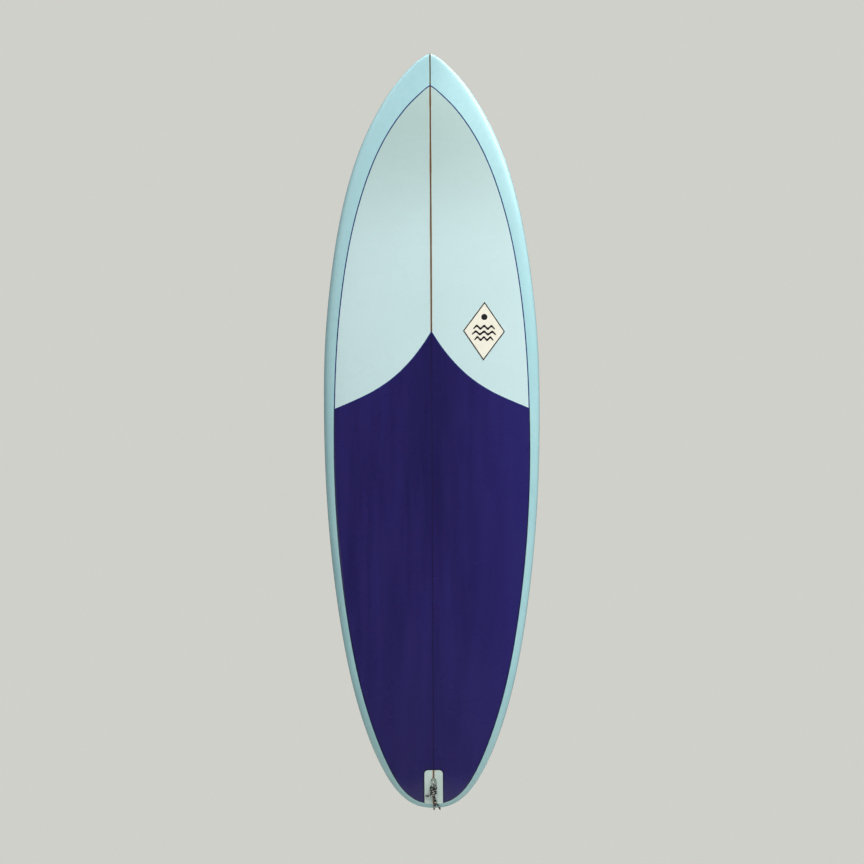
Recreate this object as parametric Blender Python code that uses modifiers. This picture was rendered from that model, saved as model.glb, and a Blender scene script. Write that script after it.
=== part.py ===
"""A 1.88 m surfboard: two foam blanks on a wooden stringer, tinted laminations, and a 2+1 fin set.

Frame: metres, +Z towards the nose, +X the right rail as seen from the deck. The deck faces -Y and the
bottom faces +Y. The origin is on the stringer line of the bottom, half-way along the board.
"""
import math
from collections import namedtuple

import bmesh
import bpy
import numpy as np
from mathutils import Matrix, Vector

# Driving dimensions of the board
LENGTH = 1.880
THICKNESS = 0.0667
NOSE_ROCKER = 0.118
TAIL_ROCKER = 0.050
STRINGER_WIDTH = 0.0036
GAP = 0.0003
GLASS = 0.0011
CROWN = 0.24
DECK_RAIL = 0.40
BOTTOM_RAIL = 1.30

HALF_LENGTH = LENGTH / 2
FOAM_DEPTH = GLASS + GAP

# Outline: distance from the nose tip, half width
TEMPLATE = (
    (0.0, 0.0), (0.0087, 0.0170), (0.0287, 0.0425), (0.0787, 0.0880), (0.1386, 0.1279),
    (0.2385, 0.1763), (0.3783, 0.2190), (0.5582, 0.2502), (0.7430, 0.2665), (0.8900, 0.2690),
    (1.0426, 0.2660), (1.2224, 0.2545), (1.4023, 0.2330), (1.5820, 0.1985), (1.7020, 0.1620),
    (1.7920, 0.1215), (1.8517, 0.0765), (1.8737, 0.0410), (LENGTH, 0.0),
)
# Along the board (Z): thickness at the stringer, rail apex as a share of it, width of the rail lap
THICKNESS_AT = ((-0.94, 0.0150), (-0.80, 0.0350), (-0.64, 0.0480), (-0.33, 0.0612), (0.02, THICKNESS),
                (0.35, 0.0618), (0.64, 0.0465), (0.80, 0.0330), (0.94, 0.0130))
APEX_AT = ((-0.94, 0.30), (-0.45, 0.35), (0.10, 0.38), (0.60, 0.41), (0.94, 0.44))
LAP_AT = ((-0.94, 0.0120), (-0.83, 0.0175), (-0.68, 0.0195), (-0.33, 0.0205), (0.055, 0.0261),
          (0.19, 0.0292), (0.33, 0.0312), (0.48, 0.0349), (0.60, 0.0403), (0.70, 0.0447),
          (0.80, 0.0511), (0.88, 0.0629), (0.94, 0.0800))

# The section lines fan out around the nose and the tail
NOSE_FAN = (0.49, 0.16)
TAIL_FAN = (-0.59, 0.12)
LINES_PER_SIDE = 30

# Tail panel: its forward edge runs from an apex on the stringer to corners on the lap
PANEL_CORNER_Z = 0.056
PANEL_SWEEP = 0.1936
SWEEP_SPREAD = 0.38
PINLINE_WIDTH = 0.0030
WINDOW_WIDTH = 0.0455
WINDOW_TOP_Z = -0.8457
WINDOW_RADIUS = 0.009

# Deck decal: a rhombus
DECAL_CENTRE = (0.1312, 0.2480)
DECAL_HALF = (0.0526, 0.0737)
DECAL_TILT = math.radians(1.5)
DECAL_CELLS = 6
DECAL_THICKNESS = 0.0003

# Centre fin box and fin, in the box's own frame: X across, Y out of the bottom, Z forward
CENTRE_BOX_Z = -0.735
CENTRE_BOX = (0.216, 0.0254, 0.0260)
SLOT_LENGTH = 0.190
SLOT_WIDTH = 0.0097
SLOT_DEPTH = 0.0200
GROOVE_TOP = -0.0085
GROOVE_BOTTOM = -0.0135
GROOVE_WIDTH = 0.0154
ENTRY_Z = 0.010
ENTRY_LENGTH = 0.0146
TAB_WIDTH = 0.0090
FIN_FRONT_Z = 0.066
FIN_BASE = 0.150
FIN_HEIGHT = 0.178
TONGUE_LENGTH = 0.0165
TONGUE = (-0.0078, -0.0032)
SCREW_Z = FIN_FRONT_Z + 0.0085
SCREW_HOLE_RADIUS = 0.0023
PIN_Z = FIN_FRONT_Z - 0.134
PIN_RADIUS = 0.0021

# Side fin boxes and fins, in each box's own frame
SIDE_BOX_X = 0.176
SIDE_BOX_Z = -0.575
SIDE_BOX = (0.128, 0.0260, 0.0165)
SIDE_TOE_IN = math.radians(3.0)
SIDE_CANT = math.radians(5.0)
SIDE_FIN_BASE = 0.108
SIDE_FIN_HEIGHT = 0.102
SIDE_TAB = (0.0160, 0.0056, 0.0122)
SIDE_TAB_ZS = (0.029, -0.029)
SIDE_SLOT_CLEARANCE = 0.0004
GRUB_RADIUS = 0.0022
GRUB_LENGTH = 0.0068
GRUB_TILT = math.radians(30.0)
GRUB_TIP = (0.0041, -0.0078)

# Leash loop and string, in a frame on the deck of the tail window
LEASH_Z = -0.8755
LOOP_CENTRE = -0.0040
LOOP_SPAN = 0.0195
LOOP_HEIGHT = 0.0120
LOOP_RADIUS = 0.0031
LOOP_FLARE = 0.8
LOOP_FLARE_HEIGHT = 0.0016
STRING_RADIUS = 0.0019
STRING_SPACING = 0.0041

# The string's route, in millimetres across to +X, out of the deck and towards the nose: its loose end,
# then two wraps, then through the loop, down through the wraps, over the tail, and back up
WRAP_HALF_WIDTH = 6.6
WRAP_HALF_HEIGHT = 4.7
WRAP_LIFT = 7.2
WRAP_START = -29.5
WRAP_PITCH = 4.3
WRAP_TURNS = 2
ROUTE_BEFORE = ((-21.0, 3.4, -31.6), (-16.0, 3.2, -34.6), (-11.0, 4.9, -33.6))
ROUTE_AFTER = (
    (-7.8, 4.4, -18.8), (-7.7, 4.1, -15.6), (-6.9, 3.8, -11.8), (-4.2, 3.8, -8.0), (0.0, 3.8, -6.7),
    (4.2, 3.8, -8.0), (6.9, 4.0, -11.8), (5.9, 5.6, -16.2), (2.6, 7.0, -20.0), (2.1, 7.2, -24.0),
    (2.3, 6.7, -30.0), (0.8, 3.8, -35.5), (-0.6, 2.8, -40.5), (0.8, 5.0, -45.0), (4.6, 6.8, -49.8),
    (8.6, 4.2, -55.5), (12.2, 1.8, -61.0), (14.8, -1.0, -66.2), (15.4, -7.2, -68.6),
    (14.8, -12.8, -66.2), (12.7, -16.6, -62.8), (8.1, -18.2, -61.4), (3.5, -16.6, -63.0),
    (1.4, -12.8, -66.4), (0.8, -7.2, -68.8), (1.2, -1.0, -66.6), (2.6, 1.6, -60.6),
    (4.0, 2.2, -54.5), (4.7, 2.2, -49.5), (4.9, 2.7, -44.6), (2.6, 6.8, -39.5), (-0.4, 8.4, -34.8),
    (-2.3, 7.5, -29.5), (-2.1, 7.2, -24.0), (-2.3, 7.6, -19.8), (-1.0, 9.7, -17.0),
    (3.0, 11.2, -16.6), (7.4, 10.6, -18.2),
)

Line = namedtuple("Line", "side rim_z centre_z reach dx dz lap sweep")


# ---------------------------------------------------------------- curves
def cubic(places, values):
    """A natural cubic through values at increasing places, as a function of place."""
    places = np.array(places, dtype=float)
    values = np.array(values, dtype=float)
    count = len(places)
    steps = np.diff(places)
    slopes = (np.diff(values, axis=0).T / steps).T
    matrix = np.eye(count)
    right = np.zeros_like(values)
    for k in range(1, count - 1):
        matrix[k, k - 1:k + 2] = steps[k - 1], 2 * (steps[k - 1] + steps[k]), steps[k]
        right[k] = 6 * (slopes[k] - slopes[k - 1])
    bends = np.linalg.solve(matrix, right)

    def read(place):
        k = int(np.clip(np.searchsorted(places, place) - 1, 0, count - 2))
        step = steps[k]
        a = (places[k + 1] - place) / step
        b = 1 - a
        curve = (a ** 3 - a) * bends[k] + (b ** 3 - b) * bends[k + 1]
        return a * values[k] + b * values[k + 1] + curve * step ** 2 / 6

    return read


def path_through(points):
    """A smooth curve through points, read by distance along their chords, and its whole length."""
    knots = np.array(points, dtype=float)
    chords = np.linalg.norm(np.diff(knots, axis=0), axis=1)
    places = np.concatenate(([0.0], np.cumsum(chords)))
    return cubic(places, knots), places[-1]


def table(rows):
    return cubic([row[0] for row in rows], [row[1] for row in rows])


def solve(function, low, high):
    """Where an increasing function crosses zero."""
    for _ in range(60):
        middle = (low + high) / 2
        if function(middle) < 0:
            low = middle
        else:
            high = middle
    return (low + high) / 2


# ---------------------------------------------------------------- shape of the board
thickness = table(THICKNESS_AT)
apex_share = table(APEX_AT)
lap_width = table(LAP_AT)

# The two extra points mirror the tail, so that the outline crosses the stringer square
tail_mirror = [(row[0], -row[1]) for row in TEMPLATE[-2:-4:-1]]
outline, _ = path_through(list(TEMPLATE) + tail_mirror)
_, outline_length = path_through(TEMPLATE)


def rocker(z):
    """How far the bottom has risen towards the deck."""
    if z > 0:
        return NOSE_ROCKER * (z / HALF_LENGTH) ** 2.6
    return TAIL_ROCKER * (-z / HALF_LENGTH) ** 2.1


def apex_height(z):
    return apex_share(z) * thickness(z)


def half_width(z):
    down = HALF_LENGTH - z
    place = solve(lambda s: outline(s)[0] - down, 0.0, outline_length)
    return float(outline(place)[1])


def deck_height(along, reach, z):
    """Height of the deck over the bottom plane, from the domed middle to the rounded rail."""
    full = thickness(z)
    apex = apex_height(z)
    crown = full * (1 - CROWN * (along / reach) ** 2) - apex
    return apex + crown * math.sqrt(1 - math.exp(-2 * (reach - along) / (DECK_RAIL * full)))


def bottom_height(along, reach, z):
    apex = apex_height(z)
    return apex * (1 - math.sqrt(1 - math.exp(-2 * (reach - along) / (BOTTOM_RAIL * apex))))


def fan_centre(z):
    """Where the section line that ends at z on the rim starts on the stringer."""
    nose_start, nose_pull = NOSE_FAN
    tail_start, tail_pull = TAIL_FAN
    if z > nose_start:
        return z - nose_pull * ((z - nose_start) / (HALF_LENGTH - nose_start)) ** 2
    if z < tail_start:
        return z + tail_pull * ((tail_start - z) / (tail_start + HALF_LENGTH)) ** 2
    return z


def section_line(place, side):
    down, width = outline(place)
    rim_z = HALF_LENGTH - down
    centre_z = fan_centre(rim_z)
    width = abs(float(width)) if 0 < place < outline_length else 0.0
    reach = math.hypot(width, rim_z - centre_z)
    sweep = PANEL_SWEEP * math.exp(-((rim_z - PANEL_CORNER_Z) / SWEEP_SPREAD) ** 2)
    return Line(side, rim_z, centre_z, reach, width / reach, (rim_z - centre_z) / reach,
                float(lap_width(rim_z)), sweep)


def panel_edge(share):
    """Forward edge of the tail panel: 0 at the apex to 1 at the lap, both across and down."""
    return 2.1 * share - 1.75 * share ** 2 + 0.65 * share ** 3


def skin_point(line, face, along, depth, shift=0.0):
    """A point `along` from the stringer on the deck or bottom, `depth` below the outer skin."""
    z = line.centre_z + line.dz * along + shift
    lap_start = line.reach - line.lap
    if face == "deck" and along < lap_start:
        z += line.sweep * (1 - panel_edge(along / lap_start))
    height = deck_height if face == "deck" else bottom_height
    outward = 1 if face == "deck" else -1
    normal = (1.0, 0.0)
    if line.reach - along > 1e-7:
        step = min(1e-4, (line.reach - along) / 2)
        rise = height(along + step, line.reach, z) - height(along - step, line.reach, z)
        slope = rise / (2 * step)
        size = math.hypot(slope, 1)
        normal = (-outward * slope / size, outward / size)
    if along == 0.0:
        normal = (0.0, outward)
    over = height(along, line.reach, z) - depth * normal[1]
    inset = depth * normal[0]
    x = line.side * line.dx * (along - inset)
    z -= line.dz * inset
    return Vector((x, -rocker(z) - over, z))


def line_places():
    """Places of the section lines along the outline, closer together at both ends."""
    places = []
    for k in range(LINES_PER_SIDE + 1):
        even = k / LINES_PER_SIDE
        places.append((0.5 * even + 0.25 * (1 - math.cos(math.pi * even))) * outline_length)
    corner = solve(lambda s: outline(s)[0] - (HALF_LENGTH - PANEL_CORNER_Z), 0.0, outline_length)
    nearest = min(range(len(places)), key=lambda k: abs(places[k] - corner))
    places[nearest] = corner
    return places, nearest


def bottom_spots(line):
    reach = line.reach
    radius = BOTTOM_RAIL * apex_height(line.rim_z)
    spots = [("bottom", 0.0)]
    spots += [("bottom", reach - radius * share) for share in (1.6, 0.7, 0.3, 0.12, 0.03)]
    return spots


def rail_spots(line):
    """From the rim up to the lap line."""
    reach = line.reach
    radius = DECK_RAIL * thickness(line.rim_z)
    spots = [("deck", reach)]
    spots += [("deck", reach - radius * share) for share in (0.03, 0.12, 0.3, 0.6)]
    spots.append(("deck", reach - (0.6 * radius + line.lap) / 2))
    return spots


def deck_spots(line):
    """From just inside the lap line to the stringer."""
    return [("deck", (line.reach - line.lap) * share) for share in (0.82, 0.6, 0.38, 0.18, 0.0)]


# ---------------------------------------------------------------- objects and materials
def clear_scene():
    for item in list(bpy.data.objects):
        bpy.data.objects.remove(item, do_unlink=True)


def make_collection(name):
    found = bpy.data.collections.new(name)
    bpy.context.scene.collection.children.link(found)
    return found


def material(name, colour, roughness, metallic=0.0):
    made = bpy.data.materials.new(name)
    made.use_nodes = True
    shader = made.node_tree.nodes["Principled BSDF"]
    shader.inputs["Base Color"].default_value = (*colour, 1.0)
    shader.inputs["Roughness"].default_value = roughness
    shader.inputs["Metallic"].default_value = metallic
    made.diffuse_color = (*colour, 1.0)
    return made


def add_object(name, bm, look=None, parent=None, smooth=35):
    """Puts a bmesh in the parts collection, or with no material in the cutters."""
    bmesh.ops.recalc_face_normals(bm, faces=bm.faces)
    mesh = bpy.data.meshes.new(name)
    bm.to_mesh(mesh)
    bm.free()
    mesh.shade_smooth()
    mesh.set_sharp_from_angle(angle=math.radians(smooth))
    made = bpy.data.objects.new(name, mesh)
    made.parent = parent
    if look is None:
        cutters.objects.link(made)
        made.hide_render = True
        made.display_type = "WIRE"
    else:
        board.objects.link(made)
        mesh.materials.append(look)
    return made


def add_frame(name, matrix):
    frame = bpy.data.objects.new(name, None)
    board.objects.link(frame)
    frame.matrix_basis = matrix
    return frame


def combine(target, tool, operation="DIFFERENCE"):
    step = target.modifiers.new(tool.name, "BOOLEAN")
    step.operation = operation
    step.solver = "EXACT"
    step.object = tool


# ---------------------------------------------------------------- board skin and core
class WeldedMesh:
    """A bmesh whose vertices are shared wherever points coincide."""

    def __init__(self):
        self.bm = bmesh.new()
        self.known = {}

    def vertex(self, point):
        key = tuple(round(value * 1e6) for value in point)
        if key not in self.known:
            self.known[key] = self.bm.verts.new(point)
        return self.known[key]

    def sheet(self, rows):
        verts = [[self.vertex(point) for point in row] for row in rows]
        for row, after in zip(verts, verts[1:]):
            for k in range(len(row) - 1):
                corners = (row[k], row[k + 1], after[k + 1], after[k])
                self.bm.faces.new(dict.fromkeys(corners))


def thick_sheet(name, outer, inner, look):
    """A closed thin piece between two matching sheets of points."""
    welded = WeldedMesh()
    below = {}
    for row_out, row_in in zip(outer, inner):
        for top, under in zip(row_out, row_in):
            below[welded.vertex(top)] = under
    welded.sheet(outer)
    edges = [edge.verts[:] for edge in welded.bm.edges if edge.is_boundary]
    welded.sheet(inner)
    for first, second in edges:
        under_first = welded.vertex(below[first])
        under_second = welded.vertex(below[second])
        welded.bm.faces.new((first, second, under_second, under_first))
    return add_object(name, welded.bm, look)


def plate(name, rows, look):
    """A lamination between the outer skin and its thickness; rows hold (line, face, along, shift)."""
    outer, inner = [[[skin_point(*spot[:3], depth, spot[3]) for spot in row] for row in rows]
                    for depth in (0.0, GLASS)]
    return thick_sheet(name, outer, inner, look)


def both_sides(places, make_row):
    """Rows of spots from one end of the left side, around the nose, to the end of the right."""
    left = [make_row(section_line(place, -1), k) for k, place in enumerate(places)]
    right = [make_row(section_line(place, 1), k) for k, place in enumerate(places)]
    return left[:0:-1] + right


def core_solid():
    """The whole foam shape under the glass, both sides and stringer in one closed mesh."""
    def row(line, _):
        lap_spot = [("deck", line.reach - line.lap)]
        spots = bottom_spots(line) + rail_spots(line) + lap_spot + deck_spots(line)
        return [skin_point(line, *spot, FOAM_DEPTH) for spot in spots]

    welded = WeldedMesh()
    welded.sheet(both_sides(PLACES, row))
    return welded.bm


def keep_beyond(bm, x, direction):
    """Cuts a solid at a plane of constant X, keeps what lies towards direction, closes the cut."""
    everything = bm.verts[:] + bm.edges[:] + bm.faces[:]
    bmesh.ops.bisect_plane(bm, geom=everything, plane_co=(x, 0, 0), plane_no=(direction, 0, 0),
                           clear_inner=True)
    rim = [edge for edge in bm.edges if edge.is_boundary]
    bmesh.ops.edgeloop_fill(bm, edges=rim)


def make_blank(name, side, look):
    bm = core_solid()
    keep_beyond(bm, side * (STRINGER_WIDTH / 2 + GAP), side)
    return add_object(name, bm, look)


def make_stringer(look):
    bm = core_solid()
    keep_beyond(bm, -STRINGER_WIDTH / 2, 1)
    keep_beyond(bm, STRINGER_WIDTH / 2, -1)
    return add_object("stringer", bm, look)


def make_bottom_glass(look):
    """The lamination that covers the bottom, wraps both rails and stops at the lap line."""
    def row(line, _):
        lap_edge = [("deck", line.reach - line.lap + PINLINE_WIDTH / 2 + GAP)]
        spots = bottom_spots(line) + rail_spots(line) + lap_edge
        return [(line, *spot, 0.0) for spot in spots]

    return plate("bottom_glass", both_sides(PLACES, row), look)


def make_pinline(look):
    def row(line, _):
        middle = line.reach - line.lap
        return [(line, "deck", middle + across * PINLINE_WIDTH / 2, 0.0) for across in (1, -1)]

    return plate("pinline", both_sides(PLACES, row), look)


def deck_rows(first, last, shifts, rim=-PINLINE_WIDTH / 2 - GAP):
    """Rows of a deck panel between two section lines, whose end rows are shifted along Z.

    The panel's outer edge is `rim` outside the middle of the pinline.
    """
    def row(line, k):
        shift = shifts.get(k + first, 0.0)
        inside = line.reach - line.lap + rim
        spots = [("deck", inside)] + deck_spots(line)
        return [(line, *spot, shift) for spot in spots]

    return row, PLACES[first:last + 1]


def make_forward_panel(look):
    row, places = deck_rows(0, CORNER_LINE, {CORNER_LINE: GAP / 2})
    return plate("deck_glass_forward", both_sides(places, row), look)


def tail_sheet(name, look, **edge):
    row, places = deck_rows(CORNER_LINE, LINES_PER_SIDE, {CORNER_LINE: -GAP / 2}, **edge)
    left = [row(section_line(place, -1), k) for k, place in enumerate(places)]
    right = [row(section_line(place, 1), k) for k, place in enumerate(places)]
    return plate(name, left + right[-2::-1], look)


def rounded_outline(length, width, radius, steps=4):
    """Points (x, z) of a rounded rectangle, length along Z."""
    points = []
    for corner, (sign_x, sign_z) in enumerate(((1, 1), (-1, 1), (-1, -1), (1, -1))):
        centre = Vector((sign_x * (width / 2 - radius), sign_z * (length / 2 - radius)))
        for k in range(steps + 1):
            angle = (corner + k / steps) * math.pi / 2
            points.append(centre + radius * Vector((math.cos(angle), math.sin(angle))))
    return points


def prism(points, low, high, centre=(0.0, 0.0)):
    """An outline of (x, z) points extruded along Y."""
    bm = bmesh.new()
    base = [bm.verts.new((x + centre[0], low, z + centre[1])) for x, z in points]
    face = bm.faces.new(base)
    grown = bmesh.ops.extrude_face_region(bm, geom=[face])
    top = [item for item in grown["geom"] if isinstance(item, bmesh.types.BMVert)]
    bmesh.ops.translate(bm, vec=(0, high - low, 0), verts=top)
    return bm


def window_prism(name, grow):
    """A tall rounded block whose upper end is the window's, and whose lower end passes the tail."""
    top = WINDOW_TOP_Z + grow
    bottom = -HALF_LENGTH - 0.02
    shape = rounded_outline(top - bottom, WINDOW_WIDTH + 2 * grow, WINDOW_RADIUS + grow)
    return add_object(name, prism(shape, -0.2, 0.0, (0.0, (top + bottom) / 2)))


def make_tail_panel_and_window(panel_look, window_look, pinline):
    """The window reaches the lap, so it opens the pinline as well as the panel."""
    panel = tail_sheet("deck_glass_tail", panel_look)
    window = tail_sheet("leash_window", window_look, rim=PINLINE_WIDTH / 2)
    opening = window_prism("window_opening", GAP)
    combine(panel, opening)
    combine(pinline, opening)
    combine(window, window_prism("window_shape", 0.0), "INTERSECT")


def make_decal(look):
    """A thin rhombus that follows the deck, just over the gloss."""
    def spot(across, up, lift):
        x = DECAL_HALF[0] * across
        z = DECAL_HALF[1] * up
        turned_spot = Matrix.Rotation(-DECAL_TILT, 2) @ Vector((x, z))
        x, z = turned_spot.x + DECAL_CENTRE[0], turned_spot.y + DECAL_CENTRE[1]
        return Vector((x, -rocker(z) - deck_height(x, half_width(z), z) - lift, z))

    shares = [k / DECAL_CELLS for k in range(DECAL_CELLS + 1)]
    top, under = [[[spot(a - b, a + b - 1, lift) for b in shares] for a in shares]
                  for lift in (GAP + DECAL_THICKNESS, GAP)]
    thick_sheet("deck_decal", top, under, look)


# ---------------------------------------------------------------- fins and boxes
def bottom_frame(x, z, toe_in=0.0):
    """A frame on the bottom: Y out of it, Z forward along it, turned about Y by the toe-in."""
    step = 0.001
    slope = -(rocker(z + step) - rocker(z - step)) / (2 * step)
    tilt = Matrix.Rotation(-math.atan(slope), 4, "X")
    return Matrix.Translation((x, -rocker(z), z)) @ tilt @ Matrix.Rotation(toe_in, 4, "Y")


def foil_half(share, peak):
    """Half thickness of a foil at a share of its chord."""
    shape = 2.969 * math.sqrt(share) - 1.26 * share - 3.516 * share ** 2
    shape += 2.843 * share ** 3 - 1.036 * share ** 4
    return peak * shape + 0.0003


def foil_blade(front, back, heights, chord_peak, inner_share, lean, side):
    """A lofted fin: front and back edges are functions of the share of the height."""
    shares = (0.0, 0.03, 0.10, 0.24, 0.42, 0.62, 0.82, 1.0)
    bm = bmesh.new()
    rings = []
    for share in heights:
        lead, trail = front(share), back(share)
        height = share * chord_peak[0]
        peak = chord_peak[1] * (1 - 0.72 * share)
        offset = side * math.tan(lean) * height
        outside = [(side * foil_half(s, peak), s) for s in shares]
        inside = [(-side * inner_share * foil_half(s, peak), s) for s in shares[-1:0:-1]]
        ring = []
        for x, s in outside + inside:
            z = lead + (trail - lead) * s
            ring.append(bm.verts.new((x + offset, height + GAP, z)))
        rings.append(ring)
    for ring, after in zip(rings, rings[1:]):
        for k in range(len(ring)):
            nxt = (k + 1) % len(ring)
            bm.faces.new((ring[k], ring[nxt], after[nxt], after[k]))
    bm.faces.new(rings[0])
    bm.faces.new(rings[-1])
    return bm


def box_block(bm, low, high):
    """Adds a closed box between two corners to a bmesh."""
    low, high = Vector(low), Vector(high)
    made = bmesh.ops.create_cube(bm, size=1.0)["verts"]
    bmesh.ops.scale(bm, vec=high - low, verts=made)
    bmesh.ops.translate(bm, vec=(low + high) / 2, verts=made)


def block(name, low, high, look=None, parent=None):
    bm = bmesh.new()
    box_block(bm, low, high)
    return add_object(name, bm, look, parent)


def rod(name, radius, start, end, look=None, parent=None, sides=20):
    """A cylinder between two points."""
    start, end = Vector(start), Vector(end)
    bm = bmesh.new()
    bmesh.ops.create_cone(bm, cap_ends=True, segments=sides, radius1=radius, radius2=radius,
                          depth=(end - start).length)
    turn = (end - start).to_track_quat("Z", "Y").to_matrix().to_4x4()
    bmesh.ops.transform(bm, matrix=Matrix.Translation((start + end) / 2) @ turn, verts=bm.verts)
    return add_object(name, bm, look, parent)


def pocket_targets(cutter, targets):
    for target in targets:
        combine(target, cutter)


def make_centre_box(frame, look, cut_targets):
    length, width, depth = CENTRE_BOX
    radius = 0.006
    box = add_object("centre_fin_box", prism(rounded_outline(length, width, radius), -depth, -0.0002),
                     look, frame)
    pocket_shape = rounded_outline(length + 2 * GAP, width + 2 * GAP, radius + GAP)
    pocket = add_object("centre_pocket", prism(pocket_shape, -depth - GAP, 0.02), None, frame)
    pocket_targets(pocket, cut_targets)
    slot_shape = rounded_outline(SLOT_LENGTH, SLOT_WIDTH, 0.0035)
    combine(box, add_object("centre_slot", prism(slot_shape, -SLOT_DEPTH, 0.01), None, frame))
    half = SLOT_LENGTH / 2
    combine(box, block("centre_groove", (-GROOVE_WIDTH / 2, GROOVE_BOTTOM, -half + 0.002),
                       (GROOVE_WIDTH / 2, GROOVE_TOP, half - 0.002), None, frame))
    combine(box, block("centre_entry", (-GROOVE_WIDTH / 2, GROOVE_BOTTOM, ENTRY_Z - ENTRY_LENGTH / 2),
                       (GROOVE_WIDTH / 2, 0.01, ENTRY_Z + ENTRY_LENGTH / 2), None, frame))


def make_centre_fin(frame, look):
    front_edge = table(((0.0, 0.0), (0.25, 0.021), (0.5, 0.052), (0.75, 0.095), (0.9, 0.131),
                        (1.0, 0.164)))
    back_edge = table(((0.0, 0.150), (0.12, 0.139), (0.3, 0.1315), (0.5, 0.1335), (0.72, 0.147),
                       (0.9, 0.165), (1.0, 0.176)))
    blade = foil_blade(lambda s: FIN_FRONT_Z - front_edge(s), lambda s: FIN_FRONT_Z - back_edge(s),
                       (0.0, 0.1, 0.22, 0.36, 0.5, 0.64, 0.77, 0.88, 0.96, 1.0),
                       (FIN_HEIGHT, 0.0043), 1.0, 0.0, 1)
    fin = add_object("centre_fin", blade, look, frame)
    tab_front, tab_back = FIN_FRONT_Z - 0.002, FIN_FRONT_Z - FIN_BASE + 0.002
    tab = block("centre_fin_tab", (-TAB_WIDTH / 2, -SLOT_DEPTH + 0.0006, tab_back),
                (TAB_WIDTH / 2, 0.0012, tab_front), None, frame)
    tongue = block("centre_fin_tongue", (-TAB_WIDTH / 2, TONGUE[0], tab_front - 0.002),
                   (TAB_WIDTH / 2, TONGUE[1], FIN_FRONT_Z + TONGUE_LENGTH), None, frame)
    combine(fin, tab, "UNION")
    combine(fin, tongue, "UNION")
    combine(fin, rod("centre_pin_hole", PIN_RADIUS + GAP, (-0.02, -0.011, PIN_Z),
                     (0.02, -0.011, PIN_Z), None, frame))
    combine(fin, rod("centre_screw_hole", SCREW_HOLE_RADIUS, (0, -0.03, SCREW_Z), (0, 0.0, SCREW_Z),
                     None, frame))


def make_centre_hardware(frame, brass, steel):
    rod("centre_fin_pin", PIN_RADIUS, (-0.0072, -0.011, PIN_Z), (0.0072, -0.011, PIN_Z), brass, frame)
    plate_top = GROOVE_TOP - 0.0004
    nut = block("centre_fin_plate", (-0.0068, plate_top - 0.0026, SCREW_Z - 0.0068),
                (0.0068, plate_top, SCREW_Z + 0.0068), steel, frame)
    combine(nut, rod("centre_plate_hole", SCREW_HOLE_RADIUS, (0, -0.03, SCREW_Z), (0, 0.0, SCREW_Z),
                     None, frame))
    seat = TONGUE[1] + GAP
    profile = ((0.0, seat + 0.0026), (0.0022, seat + 0.0026), (0.0034, seat + 0.0019),
               (0.0038, seat + 0.0010), (0.0038, seat), (0.0020, seat), (0.0020, -0.0150),
               (0.0015, -0.0158), (0.0, -0.0158))
    screw = turned("centre_fin_screw", profile, steel, frame, (0, 0, SCREW_Z))
    cross = [(0.0004, 0.0020), (0.0020, 0.0004)]
    for k, (half_x, half_z) in enumerate(cross):
        drive = block("centre_drive_%d" % k, (-half_x, seat + 0.0012, SCREW_Z - half_z),
                      (half_x, seat + 0.01, SCREW_Z + half_z), None, frame)
        combine(screw, drive)


def turned(name, profile, look, parent, place=(0, 0, 0), steps=20):
    """A profile of (radius, height) points, down its outer side, turned about Y by a Screw modifier."""
    bm = bmesh.new()
    verts = [bm.verts.new((radius, height, 0.0)) for radius, height in profile]
    for pair in zip(verts, verts[1:]):
        bm.edges.new(pair)
    made = add_object(name, bm, look, parent)
    made.location = place
    step = made.modifiers.new("turn", "SCREW")
    step.axis = "Y"
    step.steps = steps
    step.render_steps = steps
    step.use_merge_vertices = True
    step.merge_threshold = 0.00001
    return made


def make_side_set(side_name, side, box_look, fin_look, screw_look, cut_targets):
    """One side fin box with its fin and its two grub screws."""
    toe_in = -side * SIDE_TOE_IN
    frame = add_frame("side_frame_" + side_name, bottom_frame(side * SIDE_BOX_X, SIDE_BOX_Z, toe_in))
    length, width, depth = SIDE_BOX
    radius = 0.010
    box = add_object("side_fin_box_" + side_name,
                     prism(rounded_outline(length, width, radius), -depth, -0.0002), box_look, frame)
    pocket_shape = rounded_outline(length + 2 * GAP, width + 2 * GAP, radius + GAP)
    pocket = add_object("side_pocket_" + side_name, prism(pocket_shape, -depth - GAP, 0.02), None, frame)
    pocket_targets(pocket, cut_targets)

    centre = SIDE_FIN_BASE / 2
    front_edge = table(((0.0, 0.0), (0.3, 0.019), (0.6, 0.047), (0.85, 0.080), (1.0, 0.106)))
    back_edge = table(((0.0, 0.108), (0.15, 0.100), (0.4, 0.0965), (0.7, 0.1035), (1.0, 0.1155)))
    blade = foil_blade(lambda s: centre - front_edge(s), lambda s: centre - back_edge(s),
                       (0.0, 0.12, 0.28, 0.45, 0.62, 0.78, 0.92, 1.0),
                       (SIDE_FIN_HEIGHT, 0.0062), 0.12, SIDE_CANT, side)
    fin = add_object("side_fin_" + side_name, blade, fin_look, frame)

    tab_length, tab_width, tab_depth = SIDE_TAB
    for end_name, tab_z in zip(("front", "rear"), SIDE_TAB_ZS):
        tag = side_name + "_" + end_name
        slack = SIDE_SLOT_CLEARANCE
        half_width_x, half_length = tab_width / 2, tab_length / 2
        combine(box, block("side_slot_" + tag, (-half_width_x - slack, -tab_depth - slack,
                                                tab_z - half_length - slack),
                           (half_width_x + slack, 0.01, tab_z + half_length + slack), None, frame))
        combine(fin, block("side_tab_" + tag, (-half_width_x, -tab_depth, tab_z - half_length),
                           (half_width_x, 0.0010, tab_z + half_length), None, frame), "UNION")
        make_grub_screw(tag, -side, tab_z, frame, box, screw_look)


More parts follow.
